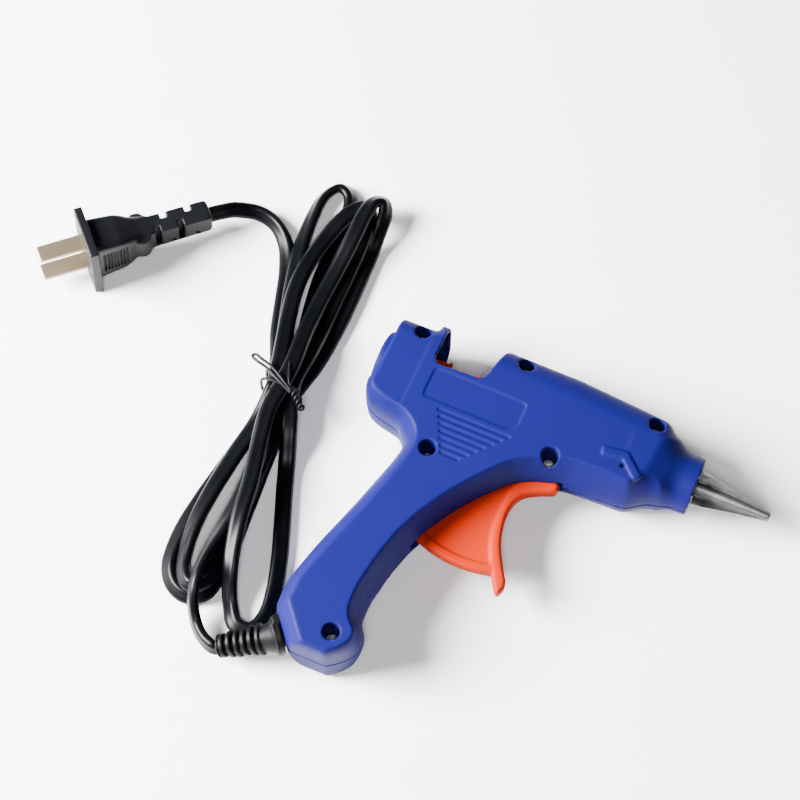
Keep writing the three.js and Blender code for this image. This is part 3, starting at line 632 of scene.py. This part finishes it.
LOWER_2 = [
    (-94.9, -36, 0.8, 0), (-93.9, -50, 0.8, 0), (-92.6, -66, 0.8, 20), (-91.4, -78, 0.8, 30),
    (-90.9, -87, 0.8, 40), (-92.2, -94.4, 0.8, 45), (-96.6, -98, 0.8, 50), (-100.8, -94.4, 0.8, 45),
    (-103.4, -87, 0.8, 38), (-104.9, -76, 0.8, 20), (-104.8, -64, 0.8, 5), (-103.4, -48, 0.8, 0),
    (-101.6, -34, 0.8, 0),
]
LOWER_3 = [
    (-91.6, -30, 3, 0), (-87.8, -40, 3, 0), (-83.4, -52, 3, 0), (-78.6, -64, 3, 0), (-73.6, -77, 3, 20),
    (-70.4, -88, 3, 30), (-69.3, -97, 3, 30), (-71.6, -103, 3, 30), (-77, -103.4, 3, 30),
    (-82.2, -97, 3, 40), (-86.4, -87, 3, 30), (-89.8, -74, 3, 10), (-92.6, -58, 3, 0),
    (-96.6, -42, 3, 0), (-98.4, -32, 3, 0),
]
PLUG_LEAD = [
    (-105, -12, 0, 0), (-110.6, 0, 0, 0), (-114.6, 12, 0, 0), (-118.6, 24, 0, 10),
    (-123.6, 33.4, 0, 30), (-130.4, 39.2, 0, 50), (-137.6, 40.4, 0, 50), (-144.2, 37, 0, 50),
]
TIE_PASSES = [
    tie_pass(TIE_LEFT, 2), tie_pass(TIE_RIGHT, 2), tie_pass(TIE_LEFT, 3), tie_pass(TIE_RIGHT, 3),
    tie_pass(TIE_TOP, 4), tie_pass(TIE_RIGHT, 1), tie_pass(TIE_LEFT, 1),
]
RUNS = [GUN_LEAD, UPPER_A, LOWER_2, UPPER_B, LOWER_3, UPPER_C, LOWER_1, PLUG_LEAD]
LEAD_START = CORD_EXIT + RELIEF_DIR * (RELIEF_LENGTH + 0.3)
LEAD_OUT = CORD_EXIT + RELIEF_DIR * (RELIEF_LENGTH + 1.8)
BOOT_OUT = plug_point(BOOT_END + 4.5)
BOOT_FACE = plug_point(BOOT_END + 0.3)


def cord_plan():
    """Rows of x, y, order, roll and pinned height; a height of -1 is left to be settled."""
    rows = [(*LEAD_START[:2], 2, 70, LEAD_START[2]), (*LEAD_OUT[:2], 2, 70, LEAD_OUT[2])]
    for i, run in enumerate(RUNS):
        rows += [(*point, -1) for point in run]
        if i < len(TIE_PASSES):
            x, z = TIE_PASSES[i]
            rows.append((x, TIE_Y, (run[-1][2] + RUNS[i + 1][0][2]) / 2, 0, z))
    rows += [(*BOOT_OUT[:2], 0, 60, BOOT_OUT[2]), (*BOOT_FACE[:2], 0, 60, BOOT_FACE[2])]
    return np.array(rows, float)


def pinned_heights(plan, xy):
    """The plan's given heights, by their place along the lead."""
    along = distance_along(plan[:, :2])
    expected = along / along[-1] * (len(xy) - 1)
    pinned = {}
    for row, guess in zip(plan, expected):
        if row[4] >= 0:
            apart = np.linalg.norm(xy - row[:2], axis=1)
            apart[np.abs(np.arange(len(xy)) - guess) > PIN_SEARCH] = np.inf
            pinned[int(np.argmin(apart))] = row[4]
    return pinned


def settle(plan, rounds=14):
    """Lays the runs on the floor and over each other in long low humps, tie and ends pinned."""
    points = spline(plan[:, :4], CORD_STEP)
    xy, order, roll = points[:, :2], points[:, 2], np.radians(points[:, 3])
    half_w, half_h = CORD_WIDTH / 2, CORD_HEIGHT / 2
    wide = np.hypot(half_w * np.cos(roll), half_h * np.sin(roll))
    tall = np.hypot(half_h * np.cos(roll), half_w * np.sin(roll))
    places = np.arange(len(points))
    apart = np.linalg.norm(xy[:, None] - xy[None], axis=2)
    reach = wide[:, None] + wide[None]
    other_run = np.abs(places[:, None] - places[None]) * CORD_STEP > SAME_RUN
    near = (apart < reach) & other_run & (order[:, None] > order[None] + 0.1)
    lift = np.sqrt(np.clip(1 - (apart / reach) ** 2, 0, 1)) * (tall[:, None] + tall[None])
    pinned = sorted(pinned_heights(plan, xy).items())
    rest = tall + 0.05
    z = rest
    kernel = np.exp(-0.5 * (np.arange(-HUMP_HALF, HUMP_HALF + 1) / HUMP_SPREAD) ** 2)
    kernel /= kernel.sum()
    for _ in range(rounds):
        need = np.where(near, z[None] + lift, 0).max(1)
        z = np.maximum(need, rest)
        widened = np.stack([np.roll(z, k) for k in range(-3, 4)]).max(0)
        for index, height in pinned:
            hold = np.exp(-0.5 * ((places - index) / PIN_SPREAD) ** 2)
            widened = widened * (1 - hold) + height * hold
        z = np.convolve(np.pad(widened, HUMP_HALF, mode="edge"), kernel, "valid")
        z = np.maximum(z, rest)
    return np.column_stack([xy, z]), roll


def cord_section(sides=14):
    """Two cores side by side in one skin, with a shallow groove along each flat."""
    core, offset = CORD_HEIGHT / 2, (CORD_WIDTH - CORD_HEIGHT) / 2
    x = -CORD_WIDTH / 2 * np.cos(np.linspace(0, math.pi, sides + 1))
    x[sides // 2] = 0
    height = np.sqrt(np.clip(core ** 2 - (np.abs(x) - offset) ** 2, 0, None))
    height = np.where(np.abs(x) < offset, np.maximum(height, GROOVE_HALF), height)
    top = np.stack([x, height], 1)
    bottom = np.stack([x[-2:0:-1], -height[-2:0:-1]], 1)
    return np.vstack([top, bottom])


def sections_along(path, roll, section):
    """The section placed square to the path at each of its points, turned by roll from lying flat."""
    ahead = unit(np.gradient(path, axis=0))
    side = unit(np.cross(ahead, [0, 0, 1.0]))
    up = np.cross(side, ahead)
    across = side * np.cos(roll)[:, None] + up * np.sin(roll)[:, None]
    over = up * np.cos(roll)[:, None] - side * np.sin(roll)[:, None]
    return path[:, None] + section[None, :, :1] * across[:, None] + section[None, :, 1:] * over[:, None]


def add_cord(material):
    path, roll = settle(cord_plan())
    path = np.vstack([LEAD_START - RELIEF_DIR * 1.5, path, plug_point(BOOT_END - 1.2)])
    roll = np.concatenate([roll[:1], roll, roll[-1:]])
    sections = sections_along(path, roll, cord_section())[:, ::-1]
    cord = as_object("mains_lead", *sweep(path, sections), material)
    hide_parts("gun_lead", "cord_hank", "plug_lead")
    return cord, path


# ---- trigger and carriage ----
TRIGGER_HALF, WEB_HALF, RIM_HALF = 2.75, 1.8, 2.5
RIM_R, RIM_BAND = 42.2, 3.0
FORK_INNER, FORK_OUTER = 6.8, 8.8
LUG, LUG_R = (-25, -1), 1.8
TRIGGER_BAR = [
    (-11.2, -27.3), (-9.8, -22.8), (-6.4, -19.6), (-2.3, -18.2), (2.6, -17.9), (3.9, -19), (3.8, -21.7),
    (-1.2, -23.8), (-5.3, -26.2), (-7, -28.4), (-8.2, -31.5), (-8.5, -35), (-7.9, -39.6), (-7, -43.6),
    (-5.6, -47.3), (-3.5, -51.2), (-1.2, -55), (0.3, -57), (0.9, -59.4), (0, -61.9), (-1, -62.6),
    (-2, -61.7), (-4.5, -57.8), (-6.6, -53.9), (-8.7, -50.1), (-10.2, -45.9), (-11.2, -42),
    (-11.4, -35),
]


def arc(center, radius, start, end, steps=14):
    angles = np.radians(np.linspace(start, end, steps))
    return [(center[0] + radius * math.cos(a), center[1] + radius * math.sin(a)) for a in angles]


def add_trigger(material):
    field = Field((-48.5, -65, 4), (5.5, 2.6, 24), 0.36)
    rim = arc(PIVOT, RIM_R, -74, -122) + arc(PIVOT, RIM_R - RIM_BAND, -122, -74)
    web = [(-14, -13.5), (-9.4, -23.6), (-9.6, -44), (-6.6, -53.5), *arc(PIVOT, RIM_R - 1, -74, -122),
           (-20.5, -14)]
    field.join(prism(web, *about_middle(WEB_HALF)))
    field.join(prism(rim, *about_middle(RIM_HALF), edge=1.0), soft=0.5)
    field.join(prism(TRIGGER_BAR, *about_middle(TRIGGER_HALF), reach=1.6, edge=1.6), soft=0.8)
    field.join(post(PIVOT, 4.5, *about_middle(FORK_OUTER)))
    run = unit(np.array(LUG) - PIVOT)
    across = 2.2 * np.array([-run[1], run[0]])
    arm = [tuple(np.array(p) + s * across) for p, s in ((PIVOT, 1), (LUG, 1), (LUG, -1), (PIVOT, -1))]
    for side in (-1, 1):
        inner, outer = sorted((MID + side * FORK_INNER, MID + side * FORK_OUTER))
        field.join(prism(arm, inner, outer))
        field.join(post(LUG, 2.2, inner, outer))
        inner, outer = sorted((MID + side * 4.6, MID + side * (FORK_INNER + 0.5)))
        field.join(post(LUG, LUG_R, inner, outer))
    field.cut(post(PIVOT, 2.0, 0, THICK))
    body = frame["nodes"]["trigger"]["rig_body"]
    trigger = as_object("trigger_look", *skin(field), material, body)
    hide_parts("trigger")


def add_carriage(material):
    half = 6.5
    body_span, cut_span = about_middle(half), about_middle(half + 1)
    field = Field((-54.8, -9.5, MID - half - 1.5), (-19.5, 8, MID + half + 1.5), 0.3)
    for outline in ((-53.3, -33.7, -8, 5.7), (-34, -21, -5, 5), (-47, -46, 5, 6.5)):
        field.join(box(*outline, *body_span))
    field.cut(rod(3.9, -60, -10))
    field.cut(box(-33.7, -22.6, -6, 6, *about_middle(half - 2.3)))
    field.cut(box(-46, -37, 1.2, 8, *cut_span), soft=0.5)
    field.cut(box(-51, -40.5, -9, -3, 11.2, 16.8))
    for z0, z1 in ((MID + 3, MID + half + 1), (MID - half - 1, MID - 3)):
        field.cut(box(LUG[0] - LUG_R - 0.3, LUG[0] + LUG_R + 0.3, -3.6, 3.4, z0, z1))
    field.cut(post((-47, -6), 1.2, *cut_span))
    body = frame["nodes"]["feeder_carriage"]["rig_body"]
    carriage = as_object("feeder_carriage_look", *skin(field), material, body)
    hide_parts("feeder_carriage")


# ---- screws and spring ----
HEAD_R, HEAD_TOP = 2.4, 18.3
DOME_R, DOME_CENTRE = 3.9, 14.4


def add_screws(material):
    """Pan-head screws with a cross recess, each turned a little differently."""
    field = Field((-3.2, -3.2, 3.2), (3.2, 3.2, 19), 0.16)
    field.join(post((0, 0), HEAD_R, RECESS_FLOOR + 0.3, HEAD_TOP), soft=0.1)
    x, y, z = field.grid()
    field.keep(np.sqrt(x * x + y * y + (z - DOME_CENTRE) ** 2) - DOME_R)
    for a, b in ((0.32, 1.5), (1.5, 0.32)):
        field.cut(box(-a, a, -b, b, HEAD_TOP - 1.2, 20), soft=0.1)
    field.join(post((0, 0), SCREW_R, 4, RECESS_FLOOR + 1), soft=0.1)
    points, faces = skin(field)
    for i, place in enumerate(SCREW_PLACES):
        turn = math.radians(17 + 41 * i)
        spun = points @ np.array(Matrix.Rotation(-turn, 3, "Z"))
        screw = as_object(f"case_screw_{i + 1}_look", spun + [*place, 0], faces, material)
        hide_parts(f"case_screw_{i + 1}")


def round_section(radius, sides=14):
    angles = np.linspace(0, 2 * math.pi, sides, endpoint=False)
    return radius * np.stack([np.cos(angles), np.sin(angles)], 1)


def wire(name, path, radius, material):
    """A round wire, its section carried along the path without twisting."""
    ahead = unit(np.gradient(path, axis=0))
    side = np.cross(ahead[0], [0.31, 0.17, 0.93])
    frames = []
    for way in ahead:
        side = unit(side - way * (side @ way))
        frames.append((side, np.cross(way, side)))
    circle = round_section(radius)
    rings = [p + circle[:, :1] * a + circle[:, 1:] * b for p, (a, b) in zip(path, frames)]
    return as_object(name, *sweep(path, np.array(rings)), material)


def add_spring(material):
    turns, radius, start, end = 4, 5.1, -20.3, -12.7
    t = np.linspace(0, 1, turns * 40)
    angle = 2 * math.pi * turns * t
    coil = np.stack([start + (end - start) * t, radius * np.cos(angle), MID + radius * np.sin(angle)], 1)
    spring = wire("return_spring_look", coil, 0.35, material)
    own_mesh(spring)
    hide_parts("return_spring")


# ---- nozzle ----
NOZZLE_PROFILE = [
    (34, 1.15), (34.1, 3.6), (34.4, 3.7), (38.1, 3.7), (38.3, 5.5), (38.6, 5.7), (44.4, 5.7),
    (44.7, 5.5), (44.8, 4.6), (45.9, 3.4), (46.1, 5.2), (47.4, 5.4), (50.2, 5.0), (58, 3.8),
    (70.9, 1.76), (71.6, 1.62), (71.95, 1.4), (72, 1.1), (71.9, 0.85), (71.4, 0.8), (56, 1.1),
]
FIN_TURN = 55  # degrees about the barrel axis from +Y to the first fin
FIN_HALF = 0.55  # half of a fin's thickness
FIN_BASE, FIN_TIP = 1.3, 1.02  # how far the fins stand past the profile, as a share of its radius
CORE_BASE, CORE_TIP = 0.55, 0.96  # the round core's share of it
CONE_START, CONE_END = 46.0, 71.0
TIP_ROW = 16  # the profile's last outer row


def add_nozzle(material, sides=144):
    """A turned nozzle whose cone is a slim round core with three thin fins."""
    profile = np.array(NOZZLE_PROFILE)
    angles = np.linspace(0, 2 * math.pi, sides, endpoint=False)
    third = 2 * math.pi / 3
    off_fin = np.mod(angles - math.radians(FIN_TURN) + third / 2, third) - third / 2
    fin = FIN_HALF / np.maximum(np.abs(np.sin(off_fin)), 1e-3)
    points = []
    for i, (x, r) in enumerate(profile):
        along = (x - CONE_START) / (CONE_END - CONE_START)
        core = r * (CORE_BASE + (CORE_TIP - CORE_BASE) * along)
        reach = r * (FIN_BASE + (FIN_TIP - FIN_BASE) * along)
        finned = np.maximum(core, np.minimum(reach, fin))
        radii = finned if i <= TIP_ROW and 0 < along < 1 else r
        ring = [np.full(sides, x), radii * np.cos(angles), MID + radii * np.sin(angles)]
        points.append(np.stack(ring, 1))
    points = np.array(points)
    row, col = np.meshgrid(np.arange(len(profile)), np.arange(sides), indexing="ij")
    here, after, beside = row * sides, (row + 1) % len(profile) * sides, (col + 1) % sides
    quads = np.stack([after + col, after + beside, here + beside, here + col], -1)
    nozzle = as_object("nozzle_look", points.reshape(-1, 3), [quads.reshape(-1, 4)], material)
    nozzle.data.set_sharp_from_angle(angle=math.radians(28))
    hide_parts("nozzle")


# ---- strain relief ----
RELIEF_RINGS = 6
RELIEF_START = 6.6  # where the rings begin, along the relief
RING_R, RING_TAPER, RING_OVAL = 5.3, 1.1, 0.18
GROOVE_DEPTH = 1.5
BASE_R, BASE_FLARE = 4.3, 1.7


def relief_body(x, y, z):
    """A flared base and a tapering stack of soft rings, each a little out of round."""
    offset = [x - CORD_EXIT[0], y - CORD_EXIT[1], z - CORD_EXIT[2]]
    along = sum(o * d for o, d in zip(offset, RELIEF_DIR))
    away = [o - along * d for o, d in zip(offset, RELIEF_DIR)]
    radial = np.sqrt(sum(a * a for a in away))
    pitch = (RELIEF_LENGTH - RELIEF_START) / RELIEF_RINGS
    phase = (along - RELIEF_START) / pitch
    envelope = RING_R - RING_TAPER * np.clip(phase / (RELIEF_RINGS - 1), 0, 1)
    lump = RING_OVAL * np.cos(2 * np.arctan2(away[2], away[0]) + 2.1 * np.floor(phase))
    ring = ease((np.abs(phase - np.floor(phase) - 0.82) - 0.16) / 0.12)
    rings = envelope + lump - GROOVE_DEPTH * (1 - ring) * (phase < RELIEF_RINGS - 0.3)
    base = BASE_R + BASE_FLARE * np.clip((RELIEF_START - along) / 5.5, 0, 1)
    radius = np.where(phase < 0, base, rings)
    return smooth_max((radial - radius) * 0.8, layer(along, 1, RELIEF_LENGTH), 0.8)


def add_relief(material):
    tip = CORD_EXIT + RELIEF_DIR * RELIEF_LENGTH
    low = np.minimum(tip - 7.5, CORD_EXIT - 8.5)
    high = np.maximum(tip + 6, CORD_EXIT + 8.5)
    field = Field(low, high, 0.3)
    field.join((low, high, relief_body))
    # a flange against the slanted face with a swelling beside it, then the neck and disc inside
    field.join(leaning(CORD_EXIT, EXIT_NORMAL, 6, 0.3, 2.6), soft=1.2)
    bump = CORD_EXIT + np.array([-2.2, 3.6, 3.4])
    field.join(leaning(bump, EXIT_NORMAL, 2.2, -0.6, 2.4), soft=1.6)
    field.join(leaning(CORD_EXIT, EXIT_NORMAL, 3.7, -2.6, 1))
    field.join(leaning(CORD_EXIT, EXIT_NORMAL, 4.8, -4.2, -2.4))
    field.cut(leaning(CORD_EXIT, EXIT_NORMAL, 2.2, -6, 1))
    relief = as_object("strain_relief_look", *skin(field), material)
    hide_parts("strain_relief")


# ---- plug ----
BLADE_LENGTH, BLADE_WIDTH, BLADE_THICK, BLADE_PITCH, BLADE_SEAT = 17, 6.3, 1.5, 12.7, 6
FACE_THICK, FACE_HALF_Y, FACE_HALF_Z = 3, 10.4, 13
PAD_GROOVES, PAD_START, PAD_PITCH, PAD_GROOVE = 8, 5.2, 1.2, 0.62
BUMP_X, BUMP_Y, BUMP_R = 20.4, 3.5, 3.1
# Slots across the boot: x of each near end, then width, y and z spans.
BOOT_SLOTS = [
    ((28.9, 38.0), 2.3, (1.4, 8), (-8, 8)),
    ((25.4, 34.0), 2.1, (-8, -1.3), (-3.4, 8)),
    ((31.6, 40.4), 1.1, (-8, -2.6), (-3.6, -2.3)),
]


def mirrored(half):
    """A closed outline from its upper half, left to right."""
    return [(x, -y) for x, y in half] + half[::-1]


PLUG_TOP = mirrored([(2, 7.2), (14, 6.6), (21, 4.4), (25, 3.9), (BOOT_END, 4.1)])
PLUG_SIDE = mirrored([(2, 10.4), (13, 9.2), (20, 6), (26, 5), (BOOT_END, 4.5)])
BLADE_OUTLINE = mirrored([
    (-BLADE_LENGTH, 2.1), (-BLADE_LENGTH + 1.1, BLADE_WIDTH / 2), (8, BLADE_WIDTH / 2),
])


def plug_core(x, y, z):
    """The plug's two side views, each swept through the other."""
    top, _ = outline_distance(rounded(PLUG_TOP, 2), x[:, :, 0], y[:, :, 0])
    side, _ = outline_distance(rounded(PLUG_SIDE, 2), x[:, 0, :], z[:, 0, :])
    soft = 2.4 - 1.5 * np.clip((x - 18) / 8, 0, 1)
    return smooth_max(top[:, :, None], side[:, None, :], soft)


def blade_box(grow, level):
    start = -1 if grow else -BLADE_LENGTH
    half, thick = BLADE_WIDTH / 2 + grow, BLADE_THICK / 2 + grow
    return box(start, BLADE_SEAT + grow, -half, half, level - thick, level + thick)


def plug_object(name, field, material):
    points, faces = skin(field)
    return as_object(name, points @ PLUG_SPIN.T + PLUG_PLACE, faces, material)


def add_plug_body(material):
    field = Field((-1.5, -12, -14.5), (BOOT_END + 1.5, 12, 14.5), 0.34)
    field.join(((0, -9, -12), (BOOT_END, 9, 12), plug_core))
    for side in (-1, 1):
        # a bump behind upright finger grooves
        field.join(post((BUMP_X, side * BUMP_Y), BUMP_R, -4.6, 4.6), soft=1.2)
        for i in range(PAD_GROOVES):
            start = PAD_START + i * PAD_PITCH
            depth = sorted((side * (6.5 - 0.055 * start), side * 9))
            field.cut(box(start, start + PAD_GROOVE, *depth, -5.4, 5.4), soft=0.15)
    field.join(box(0, FACE_THICK, -FACE_HALF_Y, FACE_HALF_Y, -FACE_HALF_Z, FACE_HALF_Z))
    for starts, width, across, upright in BOOT_SLOTS:
        for start in starts:
            field.cut(box(start, start + width, *across, *upright))
    for level in (-BLADE_PITCH / 2, BLADE_PITCH / 2):
        field.cut(blade_box(0.3, level))
    plug = plug_object("plug_look", field, material)
    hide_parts("plug_body")
    return plug


def add_blades(material):
    """Flat blades with cut corners and thinned tips."""
    made = []
    for i, level in enumerate((BLADE_PITCH / 2, -BLADE_PITCH / 2)):
        field = Field((-18.5, -4.5, level - 2), (7.5, 4.5, level + 2), 0.2)
        field.join(blade_box(0, level))
        x, y, z = field.grid()
        field.keep(np.maximum(np.abs(z - level) - 0.28 - 0.5 * (x + BLADE_LENGTH), -1), 0.2)
        field.keep(prism(BLADE_OUTLINE, level - 3, level + 3, reach=0.6)[2](x, y, z), 0.2)
        blade = plug_object(f"plug_blade_{i + 1}_look", field, material)
        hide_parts(f"plug_blade_{i + 1}")
        made.append(blade)
    return made


# ---- the tie round the hank ----
STACK_TOP = 2 * TIE_WIRE + 4 * CORD_HEIGHT
HANK_MIDDLE, HANK_HALF = -98.5, 6.7
TURN_POWER = 0.55  # 1 gives an oval turn, less a boxier one
KNOT_START, KNOT_END = np.array([-93.2, -23.4, 15.2]), np.array([-87.6, -27.6, 13.0])


def tie_turn(left_y, right_y, grow, start, span):
    """A turn of the tie round the waist of the hank, on a slant."""
    angles = np.radians(np.linspace(start, start + span, 60))
    across, tall = HANK_HALF + grow, STACK_TOP / 2
    c, s = np.cos(angles), np.sin(angles)
    x = HANK_MIDDLE + across * np.sign(c) * np.abs(c) ** TURN_POWER
    z = TIE_WIRE + tall + tall * np.sign(s) * np.abs(s) ** TURN_POWER
    y = (left_y + right_y) / 2 + (right_y - left_y) / 2 * c
    return np.stack([x, y, z], 1)


def twisted_end(phase, turns=2.3, radius=0.75):
    """One of the two wires twisted together where the tie is closed."""
    along = unit(KNOT_END - KNOT_START)
    side = unit(np.cross(along, [0, 0, 1.0]))
    t = np.linspace(0, 1, 60)[:, None]
    angle = 2 * math.pi * turns * t + phase
    round_it = np.cos(angle) * side + np.sin(angle) * np.cross(along, side)
    return KNOT_START + (KNOT_END - KNOT_START) * t + radius * round_it


def add_tie(material):
    top = STACK_TOP + 0.5
    loop = [
        (-93.6, -23.6, top), (-99.2, -20.4, top + 0.5), (-104.6, -17.4, top - 0.6), (-108.8, -15.6, 12.6),
        (-111.8, -14.6, 11.8), (-112.6, -15.5, 11.6), (-109.6, -16.9, 12.0), (-105, -18.8, top - 0.8),
        (-99.6, -21.6, top + 0.2), (-93.4, -24.2, top - 0.2),
    ]
    tail = [
        (-94.2, -23.4, top), (-96.4, -19.8, top + 0.3), (-98.2, -15.6, top - 0.2), (-99.8, -11.4, 13.4),
        (-101.2, -8, 13),
    ]
    paths = {
        "tie_turn_1": tie_turn(-18.6, -24.2, 0.5, 20, 320),
        "tie_turn_2": tie_turn(-22.8, -22.0, 0.6, 30, 330),
        "tie_loop": spline(loop, 0.5),
        "tie_knot_1": twisted_end(0),
        "tie_knot_2": twisted_end(math.pi),
        "tie_tail": spline(tail, 0.5),
    }
    made = []
    for name, path in paths.items():
        piece = wire(name, path, TIE_WIRE * 0.6 if name == "tie_tail" else TIE_WIRE, material)
        made.append(piece)
    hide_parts("cord_tie")
    return made


# ---- finishes of the pieces that stay as the CAD has them ----
# Colour, roughness, metal, and the nodes that have the finish.
INNER_FINISHES = {
    "chamber_aluminium": ((0.55, 0.55, 0.56), 0.42, 1.0, ["heating_chamber"]),
    "brass": ((0.6, 0.44, 0.16), 0.38, 1.0, ["electrode_plate_upper", "electrode_plate_lower"]),
    "ceramic": ((0.07, 0.065, 0.06), 0.75, 0.0, ["ptc_heater_element"]),
    "insulation": ((0.5, 0.33, 0.1), 0.6, 0.0, ["heater_insulation"]),
    "spring_steel": ((0.5, 0.5, 0.49), 0.32, 1.0, ["heater_clip"]),
    "silicone": ((0.66, 0.62, 0.54), 0.55, 0.0, ["inlet_sleeve"]),
    "steel": ((0.45, 0.45, 0.45), 0.4, 1.0, ["grip_lever", "grip_lever_pin", "trigger_pivot_pin"]),
    "cord_black": ((0.012, 0.012, 0.014), 0.4, 0.0, ["inner_cord"]),
    "clamp_plastic": ((0.03, 0.03, 0.032), 0.5, 0.0, ["cord_clamp"]),
    "screw_steel": ((0.55, 0.55, 0.53), 0.33, 1.0, ["clamp_screw_1", "clamp_screw_2"]),
    "crimp_metal": ((0.55, 0.53, 0.48), 0.4, 1.0, ["crimp_sleeve_1", "crimp_sleeve_2"]),
    "wire_brown": ((0.13, 0.05, 0.02), 0.45, 0.0, ["live_wire"]),
    "wire_blue": ((0.03, 0.12, 0.4), 0.45, 0.0, ["neutral_wire"]),
}


def finish_kept_nodes():
    for finish, (color, roughness, metallic, names) in INNER_FINISHES.items():
        material = make_material(f"{finish}_inner", color, roughness, metallic)
        for name in names:
            node = frame["nodes"][name]
            node.data.materials.clear()
            node.data.materials.append(material)
            bevel = node.modifiers.new("soft edges", "BEVEL")
            bevel.width = 0.12 * MM
            bevel.segments = 2
            bevel.limit_method = "ANGLE"


# ---- the scene ----
add_camera()
add_floor()
add_surroundings()
add_light("key", (-0.85, -0.35, 0.6), (-0.03, -0.03, 0), 0.6, 142)
add_light("front", (0.12, -0.42, 0.85), (-0.02, -0.02, 0), 0.25, 6)

blue = make_material("casing_blue", (0.0045, 0.0042, 0.066), 0.5, vary=0.04, grain=(1400, 0.12),
                     specular=0.05)
orange = make_material("orange", (0.31, 0.012, 0.0), 0.5, vary=0.03, grain=(1200, 0.06), specular=0.05)
rubber = make_material("relief_black", (0.002, 0.002, 0.0025), 0.45, vary=0.2, specular=0.1)
screw_steel = make_material("screw_steel", (0.85, 0.85, 0.82), 0.42, 0.85, grain=(3000, 0.2))
spring_steel = make_material("spring_steel", (0.5, 0.5, 0.49), 0.3, 1.0)
aluminium = make_material("nozzle_aluminium", (0.17, 0.175, 0.17), 0.42, 1.0, vary=0.2, blotch=300,
                          grain=(2500, 0.3))
plug_black = make_material("plug_black", (0.003, 0.0033, 0.0045), 0.42, vary=0.15, grain=(1200, 0.1),
                           specular=0.12)
nickel = make_material("blade_nickel", (0.3, 0.235, 0.165), 0.42, 1.0, grain=(2500, 0.1))
tie_black = make_material("tie_black", (0.003, 0.003, 0.004), 0.45, grain=(2000, 0.05), specular=0.12)
cord_black = make_material("cord_black", (0.0012, 0.0014, 0.002), 0.32, vary=0.25, blotch=120,
                           grain=(500, 0.015), specular=0.1, rough_spread=0.03)

add_shell("upper_shell_look", True, blue)
add_shell("lower_shell_look", False, blue)
add_trigger(orange)
add_carriage(orange)
add_screws(screw_steel)
add_spring(spring_steel)
add_nozzle(aluminium)
add_relief(rubber)
plug_pieces = [add_plug_body(plug_black), *add_blades(nickel)]
tie_pieces = add_tie(tie_black)
finish_kept_nodes()
cord, cord_path = add_cord(cord_black)
